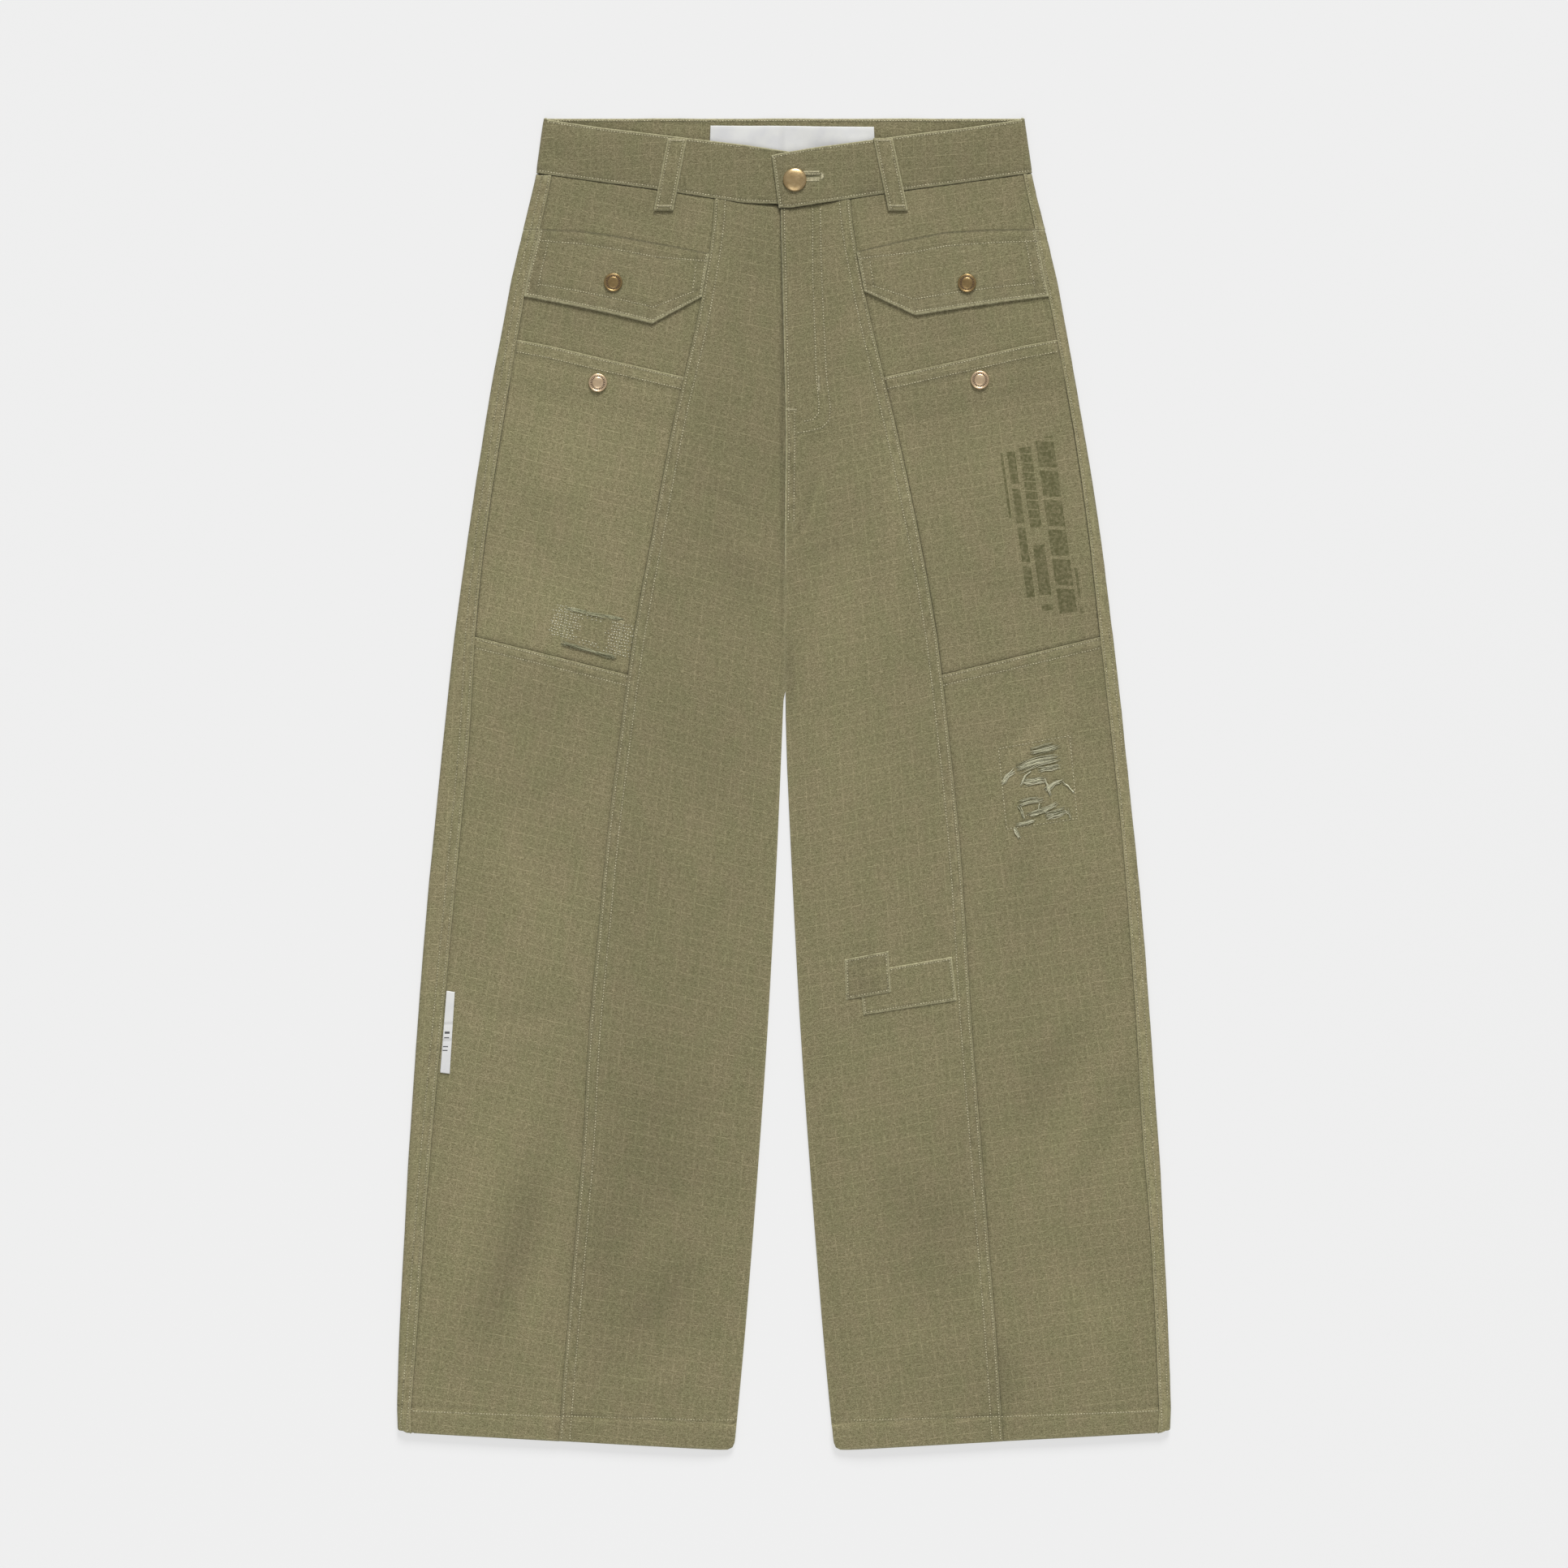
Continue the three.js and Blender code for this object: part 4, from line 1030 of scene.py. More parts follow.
class Wrap:
    """Cloth that goes round folds. Its stretches are (skin, True if it runs outwards), and its
    sides are first, last, top and foot."""

    def __init__(self, stretches, edges, seed, relief=None, fold_start=3):
        self.stretches, self.edges, self.seed, self.relief = stretches, edges, seed, relief
        self.fold_start = math.radians(fold_start)
        self.length = np.mean([skin.length for skin, _ in stretches])
        for key in edges:
            edges[key]["length"] = self.length if key in ("first", "last") else 1.0

    def lay(self, skin, s, t):
        """A flat stretch's points and wall at s from its inner edge, with its creases."""
        t = t * skin.length / self.length
        spots = skin.plan(s, t)
        x, y = spots[..., 0], spots[..., 1]
        height, wall = skin.heights(s, t)
        if skin.way > 0:
            height = height + rumple(x, y)
        else:
            width = skin.width(t)
            inside = np.minimum(np.minimum(s, width - s), np.minimum(t, skin.length - t))
            height = height + under_rumple(x, y) * smooth_step(inside, *LIFTS_OVER)
        return np.stack([x, y, height], axis=-1), wall

    def fold(self, start, stop):
        """A half turn of cloth between two stretches: each point's share of the way, its place and
        its outward direction, and the length of the turn."""
        rising, outside = np.sign(stop[2] - start[2]), np.sign(start[0])
        radius = abs(stop[2] - start[2]) / 2 / math.cos(self.fold_start)
        half_turn = np.pi - 2 * self.fold_start
        steps = []
        for share in np.arange(1, FOLD_STEPS) / FOLD_STEPS:
            turn = self.fold_start + share * half_turn
            out = np.array([outside * math.sin(turn), 0, -rising * math.cos(turn)])
            middle = start + (stop - start) * (share, share, 0.5)
            swell = FOLD_SWELL * math.sin(turn) - radius * math.sin(self.fold_start)
            steps.append((share, middle + out * radius + (outside * swell, 0, 0), out))
        return steps, radius * half_turn

    def points(self, columns, ts):
        """Outside points, outward directions, wall, distance along and unrolled x of a grid.
        columns are, for each stretch, the distances from its start for a row of that width."""
        rows, level = [], {}
        for t in ts:
            row, travelled = [], 0.0
            for i, (skin, outwards) in enumerate(self.stretches):
                width = float(skin.width(np.array(t * skin.length / self.length)))
                d = columns(i, width)
                s = d if outwards else width - d
                flat, wall = self.lay(skin, s, np.full(s.shape, t))
                if i:
                    steps, turn_length = self.fold(row[-1][0], flat[0])
                    for share, spot, out in steps:
                        thick = row[-1][2] + (wall[0] - row[-1][2]) * share
                        row.append((spot, out, thick, travelled + turn_length * share))
                    travelled += turn_length
                level[i] = slice(len(row), len(row) + len(flat))
                up = np.array([0, 0, skin.way])
                row += [(spot, up, thick, travelled + away) for spot, thick, away in zip(flat, wall, d)]
                travelled += width
            rows.append(row)
        spots, outs, walls, alongs = [
            np.array([[point[k] for point in row] for row in rows]) for k in range(4)]

        skin, outwards = self.stretches[0]
        unrolled = spots[:, :1, 0] + alongs * (skin.sign if outwards else -skin.sign)
        middle = len(ts) // 2
        for part in level.values():           # the weave runs straight across each flat stretch
            x, first = spots[:, part, 0], unrolled[middle, part]
            way = np.sign((x[middle, -1] - x[middle, 0]) * (first[-1] - first[0]))
            unrolled[:, part] = first[0] + way * (x - x[middle, 0])
        return spots, outs, walls, alongs, unrolled

    def finish(self, spots, outs, along, t):
        """The same points with what the edges do to them, and the wear and shade."""
        wear, rise = np.zeros(along.shape), np.zeros(along.shape)
        shade = washed(spots[..., 0], spots[..., 1]) * (outs[..., 2] > -0.3)
        total = along[:, -1:] + self.stations["last"][0]
        aways = {"first": along, "last": total - along, "top": t, "foot": self.length - t}
        for i, (key, away) in enumerate(aways.items()):
            side = self.edges[key]
            if key in ("top", "foot"):
                side["length"] = float(total.mean())
            share = t / self.length if key in ("first", "last") else along / total
            changes = edge_effect(side, away, share, spots[..., 1], self.seed + i)
            rise, wear, shade = rise + changes[0], wear + changes[1], shade + changes[2]
        if self.relief:
            changes = self.relief(spots[..., 0], spots[..., 1])
            facing = np.clip(outs[..., 2], 0, 1)
            rise, wear, shade = [a + b * facing for a, b in zip((rise, wear, shade), changes)]
        return spots + outs * rise[..., None], wear, shade

    def build(self, name, run, cells, upward=-1):
        """cells are the mesh's steps across each stretch. The first is also its step down."""
        self.stations = {key: edge_stations(side) for key, side in self.edges.items()}
        ts, _ = spaced(self.length, self.stations["top"], self.stations["foot"], cells[0])
        first, last = self.stations["first"], self.stations["last"]
        counts = {}

        def columns(i, width):
            start = first if i == 0 else [0.0]
            stop = last if i == len(self.stretches) - 1 else [0.0]
            room = 0.45 * width / max(start[-1] + stop[-1], 0.45 * width)
            start, stop = (np.where(np.array(a) > 0, np.array(a) * room, a) for a in (start, stop))
            d, counts[i] = spaced(width, start, stop, cells[i], counts.get(i))
            return d

        for i, (skin, _) in enumerate(self.stretches):
            columns(i, float(skin.width(np.array(skin.length / 2))))
        spots, outs, wall, along, unrolled = self.points(columns, ts)
        t = np.repeat(ts[:, None], spots.shape[1], axis=1)
        points, wear, shade = self.finish(spots, outs, along, t)
        grain = grain_of(np.stack([unrolled, points[..., 1]], axis=-1), run, 1)
        return cloth_from_points(name, points, wall, grain, wear, shade, ripstop, upward)


def row_in(skin, key, offset):
    """Plan places of a row of stitches along one edge of a skin, where it is wide enough."""
    length = getattr(skin, key).length
    share = np.arange(0.6, length - 0.6, STITCH_PITCH) / length
    if key in ("inner", "outer"):
        share = share[skin.width(share * skin.length) > offset - 0.2]
    away = np.full(share.shape, float(offset))
    if key in ("inner", "outer"):
        t = share * skin.length
        return skin.plan(away if key == "inner" else skin.width(t) - away, t)
    t = away if key == "top" else skin.length - away
    return skin.plan(share * skin.width(t), t)


def lowest(spots):
    """Which patch lies on the table, for Skin."""
    return -spots[:, 2].mean()


BENEATH = -20                # below every piece
SUNK = 0.3                   # stitches underneath are pressed this far up into the cloth


def laid_under(tree, spots):
    """Points at these places in plan, sunk into the underside that is over them."""
    points = []
    for x, y in spots:
        hit = tree.ray_cast(Vector((x, y, BENEATH)), Vector((0, 0, 1)))[0]
        points.append((x, y, (max(hit.z, 0) if hit else 0) + SUNK))
    return np.array(points)


# painted light on the back's cloth where it comes round to the front, for each leg
SIDE_LIGHT_PAINT = {"left": 0.42, "right": 0.22}


def painted_side_light(x, y):
    """The back's cloth is painted lighter where it comes round to the front, as light on the fold."""
    still = np.zeros(x.shape)
    return still, still, still + np.where(x > 0, SIDE_LIGHT_PAINT["left"], SIDE_LIGHT_PAINT["right"])


BACKS = [
    # with the finish of its top and foot, and how far in from them its rows of stitches are
    {"part": "panel", "flat": (0.30, 0.97), "area": 0.262, "cell": 6.0,
     "top": "lapped", "top rows": (1.6, 8.3), "foot": "turned", "foot rows": (19,)},
    {"part": "yoke", "flat": (0.22, 0.075), "area": 0.0125, "cell": 5.0,
     "top": "cut", "top rows": (), "foot": "cut", "foot rows": ()},
]
for leg, sign in LEGS.items():
    for row in BACKS:
        part = row["part"]
        node = f"back_{part}_{leg}"
        under = Skin(node, sign, way=-1, flat=FLAT, key=lowest)
        strip = Skin(node, sign, way=1, flat=FLAT, above=3.5)
        edges = {
            "first": edge("joined"),
            "last": edge("lapped", rows=[stitched(d) for d in STRIP_ROWS], wear=0.35),
            "top": edge(row["top"], rows=[stitched(d) for d in row["top rows"]]),
            "foot": edge(row["foot"], rows=[stitched(d) for d in row["foot rows"]]),
        }
        wrap = Wrap([(under, True), (strip, False)], edges, 100 + 9 * sign + len(part), painted_side_light)
        piece = wrap.build(f"back_{part}_cloth_{leg}", "straight", [row["cell"], 1.6])
        cloth_facts(piece, [node])
        above, below = top_of(piece), top_of(piece, way=-1)
        rows = [laid_on(above, row_in(strip, "inner", d)) for d in STRIP_ROWS]
        sew(f"back_{part}_side_stitching_{leg}", rows, tone=0.6)
        rows = [laid_under(below, row_in(under, key, d))
                for key in ("top", "foot") for d in row[f"{key} rows"]]
        if rows:
            sew(f"back_{part}_under_stitching_{leg}", rows, up=-1)


# ------------------------------------------------------------------------------ front centres
# One panel a leg from the waist to the hem, between the centre seam and the princess seam, which
# is felled over the side panels with twin rows. The wearer's left one laps over the fly, which has
# an edge row, a double J row round its facing, and bar tacks at its foot.
CROTCH_Y = 177
FELL_ROWS = [stitched(1.6), stitched(8.3)]
FELL = {"rise": 0.6, "start": 8.5, "stop": 10.0, "soften": 4.5}      # the seam's allowance
HEM = {"rise": 1.0, "start": 20.0, "stop": 22.0, "soften": 3.0}
FELL_STEPS = (4.5, 6.3, 10.0, 12.2, 14.8)
NEAR_FLY = tuple(np.arange(2.2, 31, 1.7))     # closer mesh for the creases at the crotch
HEM_ROWS = {"centre": stitched(24.0, 19.5), "side": stitched(19.5, 17.0)}
HEM_STEPS = (4, 8, 12, 16, 18, 20, 22, 25)
FLY_INNER = [(22.6, 454), (22.6, 400), (24.2, 361), (25.4, 322), (27.6, 300), (27, 292),
             (23, 287.5), (14.9, 285.8)]
FLY_OUTER = [(28.7, 454), (29.3, 412), (30.9, 373), (33.4, 322), (36.6, 296), (35.6, 287),
             (30, 281), (21, 278.6), (9.8, 276.8)]
FLY_TACKS = [[(27.4, 322), (27.5, 310.5)], [(1.8, 295.4), (10, 295)]]


def fly_relief(x, y):
    """The two rows round the fly's facing."""
    return grooves(x, y, [FLY_INNER, FLY_OUTER])


for leg, sign in LEGS.items():
    over = leg == "left"
    fly_rows = [stitched(2.6, stop=0.252), stitched(7.0, start=0.163, stop=0.252)] if over else []
    edges = {
        "inner": edge("lapped" if over else "tucked", rows=fly_rows, below=("joined", CROTCH_Y), wear=1.3,
                      extra=NEAR_FLY),
        "outer": edge("lapped", rows=FELL_ROWS, extra=FELL_STEPS, step=FELL, wear=0.35),
        "top": edge("tucked"),
        "foot": edge("turned", rows=[HEM_ROWS["centre"]], extra=HEM_STEPS, step=HEM),
    }
    panel = Panel(f"front_centre_{leg}", sign, edges, seed=10 + 7 * sign,
                  relief=fly_relief if over else None, fine=(196, 300, 1.7))
    piece = panel.build(f"front_centre_cloth_{leg}", f"centre_{leg}")
    cloth_facts(piece, [f"front_centre_{leg}"])
    rows, tacks = panel.rows(), []
    if over:
        top = top_of(piece)
        rows += [laid_on(top, stepped(path, STITCH_PITCH)) for path in (FLY_INNER, FLY_OUTER)]
        tacks = [laid_on(top, stepped(path, TACK_PITCH)) for path in FLY_TACKS]
    sew(f"front_centre_stitching_{leg}", rows, tacks=tacks)


# ------------------------------------------------------------------------ side panels, upper
# From the waistband down behind the thigh pocket's mouth, single ply, tucked in at both seams.
for leg, sign in LEGS.items():
    panel = Panel(f"side_upper_{leg}", sign, all_round("tucked") | {"foot": edge("cut")}, seed=30 + 3 * sign)
    piece = panel.build(f"side_upper_cloth_{leg}", f"side_{leg}")
    cloth_facts(piece, [f"side_upper_{leg}"])


# ------------------------------------------------------------------------------ thigh pockets
# A large patch pocket on each thigh. Its mouth is turned in and stitched twice, its sides are
# caught in the seams, and its foot runs under the lower panel. The left one is printed with a
# plain block of broken bars, worn thin by washing.
INK = srgb(88, 86, 56)
BARS = [
    # centre across and up from the print's middle, half width and half height, and the pitch of the
    # stencil's bridges across it, in millimetres
    {"x": 10, "y": 2, "w": 7.0, "h": 70, "pitch": 23.5},
    {"x": -6, "y": 34, "w": 4.6, "h": 32, "pitch": 7.4},
    {"x": -6, "y": -38, "w": 4.6, "h": 26, "pitch": 60},
    {"x": -17.5, "y": 6, "w": 3.2, "h": 58, "pitch": 31},
    {"x": -25, "y": 36, "w": 1.0, "h": 28, "pitch": 60},
    {"x": 20.5, "y": -52, "w": 1.0, "h": 18, "pitch": 60},
]
BRIDGE = 0.12                # the share of a bar's pitch that each of its bridges takes
PRINT = {"x": 205, "y": 201, "tilt": 8}


def bar_mask(tree, place, bars):
    """1 inside any of the bars, which have a centre and half sizes along x and y."""
    axes = wire(tree, "ShaderNodeSeparateXYZ", {0: place})
    mask = None
    for bar in bars:
        inside = []
        for i, at, size in ((0, "x", "w"), (1, "y", "h")):
            away = maths(tree, "ABSOLUTE", maths(tree, "SUBTRACT", axes.outputs[i], bar[at] * MM))
            inside.append(maths(tree, "LESS_THAN", away, bar[size] * MM))
        one = maths(tree, "MULTIPLY", *inside)
        if "pitch" in bar:
            slant = maths(tree, "ADD", axes.outputs[1], maths(tree, "MULTIPLY", axes.outputs[0], 0.2))
            bridges = maths(tree, "FRACT", maths(tree, "DIVIDE", slant, bar["pitch"] * MM))
            one = maths(tree, "MULTIPLY", one, maths(tree, "GREATER_THAN", bridges, BRIDGE))
        mask = one if mask is None else maths(tree, "MAXIMUM", mask, one)
    return mask


def printed_bars(tree):
    """The mask and the ink of the print, on the pocket's own object coordinates."""
    place = object_place(tree)
    turned = wire(tree, "ShaderNodeMapping", {"Vector": place}, vector_type="TEXTURE")
    turned.inputs["Location"].default_value = (PRINT["x"] * MM, PRINT["y"] * MM, 0)
    turned.inputs["Rotation"].default_value = (0, 0, math.radians(PRINT["tilt"]))
    mask = bar_mask(tree, turned.outputs[0], BARS)
    worn = ranged(tree, speckle(tree, place, 0.0022, (1, 1), 4.0), 0.38, 0.6, 0.35, 0.95)
    return maths(tree, "MULTIPLY", mask, worn), INK


printed_ripstop = cloth_material("olive ripstop with a print", mark=printed_bars)
for leg, sign in LEGS.items():
    edges = {
        "inner": edge("slipped"), "outer": edge("slipped"), "foot": edge("tucked"),
        "top": edge("lapped", rows=[stitched(1.6), stitched(9.2)], extra=(*FELL_STEPS, 20, 30), step=FELL,
                    wear=0.7),
    }
    panel = Panel(f"thigh_pocket_{leg}", sign, edges, seed=40 + 3 * sign)
    piece = panel.build(f"thigh_pocket_cloth_{leg}", f"side_{leg}",
                        material=printed_ripstop if leg == "left" else ripstop)
    cloth_facts(piece, [f"thigh_pocket_{leg}"])
    sew(f"thigh_pocket_stitching_{leg}", panel.rows())


# ------------------------------------------------------------------------ side panels, lower
# From the pocket's foot, which they are felled over with twin rows, down to the hem. The left one
# is torn open above the knee, and mended by a square of rows through a patch behind it.
MEND_SQUARE = [(169.1, 27.8), (225.4, 38.1), (231.2, -27.2), (175.5, -35.5), (169.1, 27.8)]
TEARS = [
    {"path": [(192.8, 25), (206, 28), (217.8, 31)], "spread": 4.5, "count": 9},
    {"path": [(217.8, 21.5), (198, 18), (181, 11.5)], "spread": 5.0, "count": 12},
    {"path": [(182, 12), (176, 6), (171.7, -1)], "spread": 2.2, "count": 5},
    {"path": [(199.8, 10.8), (210, 13), (219, 15.5)], "spread": 2.4, "count": 5},
    {"path": [(196, 11), (190, 6), (185.8, -2.2)], "spread": 1.2, "count": 3},
    {"path": [(187.7, 0.5), (198, 2), (207, 4)], "spread": 4.0, "count": 9},
    {"path": [(204.5, 5.5), (208, -1), (210.5, -10)], "spread": 1.4, "count": 4},
    {"path": [(205, -5.5), (213, 0.5), (221, 3)], "spread": 3.0, "count": 7},
    {"path": [(219, 1.5), (224, -1.5), (228.7, -7.4)], "spread": 1.0, "count": 3},
    {"path": [(184.5, -16), (194, -13.5), (205.6, -11.6)], "spread": 3.4, "count": 8},
    {"path": [(190.9, -25), (204, -21), (217.5, -14.8)], "spread": 3.0, "count": 7},
    {"path": [(205.6, -25.5), (214, -23.5), (223.5, -20)], "spread": 3.6, "count": 8},
    {"path": [(222, -20), (225, -24), (226.7, -28)], "spread": 0.8, "count": 2},
    {"path": [(184.5, -16.3), (188, -23), (190.2, -29.8)], "spread": 1.0, "count": 3},
    {"path": [(182, -33), (190, -31), (199, -28.5)], "spread": 3.2, "count": 7},
    {"path": [(181.6, -34), (184, -39), (186.4, -43.2)], "spread": 1.8, "count": 5},
    {"path": [(203, -15.2), (201, -18), (201.5, -22)], "spread": 0.8, "count": 2},
]
# how far the torn places sink, and how dark their painted shade is
TEAR = {"depth": 0.7, "shade": 0.4}


def mend_relief(x, y):
    """The mend's rows of stitches, and the torn places sunk between them, with painted shade in them."""
    rise, wear, shade = grooves(x, y, [MEND_SQUARE])
    for tear in TEARS:
        sunk = crease(x, y, tear["path"], tear["spread"] * 0.55 + 0.6, 1.0)
        rise, shade = rise - TEAR["depth"] * sunk, shade - TEAR["shade"] * sunk
    return rise, wear, shade


for leg, sign in LEGS.items():
    edges = {
        "inner": edge("tucked"), "outer": edge("tucked"),
        "top": edge("lapped", rows=FELL_ROWS, extra=FELL_STEPS, step=FELL, wear=0.45),
        "foot": edge("turned", rows=[HEM_ROWS["side"]], extra=HEM_STEPS, step=HEM),
    }
    mended = leg == "left"
    panel = Panel(f"side_lower_{leg}", sign, edges, seed=50 + 3 * sign,
                  relief=mend_relief if mended else None, fine=(60, 165, 1.8) if mended else None)
    piece = panel.build(f"side_lower_cloth_{leg}", f"side_{leg}")
    cloth_facts(piece, [f"side_lower_{leg}"])
    rows = panel.rows()
    if mended:
        rows.append(laid_on(top_of(piece), stepped(MEND_SQUARE, 2.6)))
    sew(f"side_lower_stitching_{leg}", rows)

frayed_yarn = thread_material("frayed yarn", srgb(126, 125, 92), srgb(228, 225, 194))


YARN = {"points": 9, "sides": 4, "taper": 0.45}


def yarn(points, across, thick):
    """The points and faces of one loose yarn: a thin tube through the points, finer at its ends."""
    sides, last = YARN["sides"], len(points) - 1
    spots, faces = [], []
    for i, point in enumerate(points):
        radius = thick * (YARN["taper"] if i in (0, last) else 1.0)
        for k in range(sides):
            angle = 2 * math.pi * (k + 0.5) / sides
            spots.append(point + radius * (np.append(across[i], 0) * math.cos(angle)
                                           + np.array((0, 0, 1)) * math.sin(angle)))
    for i in range(last):
        for k in range(sides):
            a, b = i * sides + k, i * sides + (k + 1) % sides
            faces.append([a, b, b + sides, a + sides])
    faces.append(list(range(sides))[::-1])
    faces.append(list(range(last * sides, len(points) * sides)))
    return spots, faces


def strands(name, bundles, on, seed, radius, fullness, material):
    """Loose yarns: each bundle's strands follow its path, spread across it, over what is below."""
    chance = np.random.default_rng(seed)
    tree = top_of(*on)
    spots, faces, tones = [], [], []
    for bundle in bundles:
        for _ in range(int(bundle["count"] * fullness)):
            start, stop = chance.uniform(0, 0.2), 1 - chance.uniform(0, 0.28)
            shares = np.linspace(start, stop, YARN["points"])
            line = Curve(bundle["path"]).at(shares)
            ahead = np.gradient(line, axis=0)
            ahead /= np.linalg.norm(ahead, axis=1)[:, None]
            across = np.stack([-ahead[:, 1], ahead[:, 0]], axis=1)
            off = chance.normal(0, bundle["spread"] / 2.7)
            wave = 0.3 * np.sin(shares * chance.uniform(5, 14) + chance.uniform(0, 6))
            line = line + across * (off + wave + chance.normal(0, 0.3) * (shares - 0.5) * 3)[:, None]
            points = laid_on(tree, line)
            points[:, 2] += 0.25 + chance.uniform(0, 0.45) + 0.35 * np.sin(shares * np.pi)
            tube, rings = yarn(points, across, radius * chance.uniform(0.8, 1.25))
            faces += [[len(spots) + v for v in ring] for ring in rings]
            spots += tube
            tones += [float(np.clip(chance.normal(0.5, 0.32), 0, 1))] * len(tube)
    return joined_piece(name, np.array(spots), faces, np.array(tones), material)


strands("mend_frayed_yarns", TEARS, [bpy.data.objects["side_lower_cloth_left"]], seed=5, radius=0.2,
        fullness=2.2, material=frayed_yarn)


# ------------------------------------------------------------------------------- pocket flaps
# Two plies, bagged out and pressed, with a pointed lower edge and twin rows round it. They are
# stitched down along the top and close with a snap.
for leg, sign in LEGS.items():
    rims = [stitched(1.9, trim=1.9), stitched(9.0, trim=9.0)]
    edges = {
        "inner": edge("lapped", rows=rims, wear=1.1, lip=1.3), "outer": edge("lapped", rows=rims, lip=1.3),
        "foot": edge("lapped", rows=rims, wear=1.2, lip=1.8), "top": edge("seamed", rows=[stitched(7.7)]),
    }
    panel = Panel(f"pocket_flap_{leg}", sign, edges, seed=60 + 3 * sign)
    piece = panel.build(f"pocket_flap_cloth_{leg}", f"side_{leg}", cell=2.4)
    cloth_facts(piece, [f"pocket_flap_{leg}"])
    sew(f"pocket_flap_stitching_{leg}", panel.rows())


# ---------------------------------------------------------------------------------- waistband
# One doubled strip round the waist, stitched near every edge. Its left end laps over the right at
# the button, with a worked buttonhole, and its back stands a little above its front.
BUTTONHOLE = [(15.0, 478.6), (28.6, 478.9)]
BUTTONHOLE_SIDES = [
    [(15.0, 480.4), (28.4, 480.7)], [(15.0, 482.0), (27.9, 482.3)],
    [(15.0, 476.8), (28.4, 477.1)], [(15.0, 475.2), (27.9, 475.5)],
]
BUTTONHOLE_END = [
    [(29.2, 481.6), (29.9, 478.9), (29.2, 476.2)], [(30.3, 480.9), (30.9, 478.9), (30.3, 476.9)],
]
LAP_LEVEL = 7.0              # the front is above this height only where its left end laps over
FRONT_ONLY = 3.5             # the back of the band lies below this height, and its front above it


def band_relief(x, y):
    """The buttonhole, sunk between its two worked sides, with painted shade in its slit. The band is a
    little darker all over.
    """
    rise, wear, shade = grooves(x, y, [BUTTONHOLE], depth=1.0, width=1.1)
    return rise, wear + 0.6 * crease(x, y, BUTTONHOLE, 4.0, 1.0, 0.1), shade * 3 - 0.15


def rightmost(spots):
    """Which patch reaches furthest to the wearer's right, for Skin."""
    return -spots[:, 0].min()


def leftmost(spots):
    """Which patch reaches furthest to the wearer's left, for Skin."""
    return spots[:, 0].max()


right_band = Skin("waistband", -1, flat=FLAT, above=FRONT_ONLY, key=rightmost)
left_band = Skin("waistband", 1, flat=FLAT, above=FRONT_ONLY, key=leftmost)
back_band = Skin("waistband", 1, way=-1, flat=FLAT, key=lowest)
BAND_ROW = 1.7
band_edges = all_round("lapped", ("first", "last", "top", "foot"), rows=[stitched(BAND_ROW)])
band_edges["top"] = edge("lapped", rows=[stitched(BAND_ROW)], wear=1.5)
band = Wrap([(right_band, True), (back_band, True), (left_band, False)], band_edges, seed=71,
            relief=band_relief, fold_start=26)
piece = band.build("waistband_cloth", "band", [2.6, 4.5, 2.0], upward=1)
cloth_facts(piece, ["waistband"])
above, below = top_of(piece), top_of(piece, way=-1)
rows = [laid_on(above, row_in(left_band, key, BAND_ROW)) for key in ("top", "foot", "inner")]
for key in ("top", "foot"):
    row = laid_on(above, row_in(right_band, key, BAND_ROW))
    rows.append(row[row[:, 2] < LAP_LEVEL])
inside = laid_on(above, row_in(back_band, "top", BAND_ROW))
rows.append(inside[inside[:, 2] < FRONT_ONLY])
sew("waistband_stitching", rows)
rows = [laid_under(below, row_in(back_band, key, BAND_ROW)) for key in ("top", "foot")]
sew("waistband_under_stitching", rows, up=-1)
worked = [laid_on(above, stepped(path, 0.55)) for path in BUTTONHOLE_SIDES + BUTTONHOLE_END]
sew("buttonhole_stitching", [], tacks=worked, tone=0.85)


# --------------------------------------------------------------------------------- belt loops
# Five straps of folded ripstop, with a row near each edge. Each is bar-tacked to the band at its
# head and to the panel below the waist seam at its foot.
LOOP_TACKS = (1.9, 54.5)
LOOPS = [
    {"name": "front_left", "sign": 1, "way": 1}, {"name": "front_right", "sign": -1, "way": 1},
    {"name": "back_left", "sign": 1, "way": -1}, {"name": "back_centre", "sign": 1, "way": -1},
    {"name": "back_right", "sign": -1, "way": -1},
]
for i, row in enumerate(LOOPS):
    node = f"belt_loop_{row['name']}"
    sides = all_round("lapped", ("inner", "outer"), rows=[stitched(2.3, trim=1.2)])
    ends = all_round("turned", ("top", "foot"))
    panel = Panel(node, row["sign"], sides | ends, seed=80 + i, flat=FLAT, way=row["way"])
    piece = panel.build(f"{node}_cloth", "straight", cell=1.7)
    cloth_facts(piece, [node])
    tacks = [panel.across(down, 1.6, TACK_PITCH) for down in LOOP_TACKS]
    sew(f"{node}_stitching", panel.rows(), up=row["way"], tacks=tacks)


# ------------------------------------------------------------------------------- knee patches
# Two offcuts of the same ripstop on the wearer's left thigh. The small one laps over a corner of
# the large one. Each is turned in all round and stitched close to its edge.
PATCHES = [
    {"node": "knee_patch_large", "flat": (0.076, 0.036), "area": 0.0026, "on": "front_centre_cloth_left"},
    {"node": "knee_patch_small", "flat": (0.036, 0.034), "area": 0.00112, "on": "knee_patch_large"},
]
under = [bpy.data.objects[name] for name in ("front_centre_cloth_left", "side_lower_cloth_left")]
for i, row in enumerate(PATCHES):
    sides = all_round("lapped", rows=[stitched(1.7, trim=1.7)], wear=1.2)
    panel = Panel(row["node"], 1, sides, seed=90 + i, flat=FLAT, on=top_of(*under))
    piece = panel.build(f"{row['node']}_cloth", "centre_left", cell=1.7)
    under.append(piece)
    cloth_facts(piece, [row["node"]])
    sew(f"{row['node']}_stitching", panel.rows(), tone=0.7)


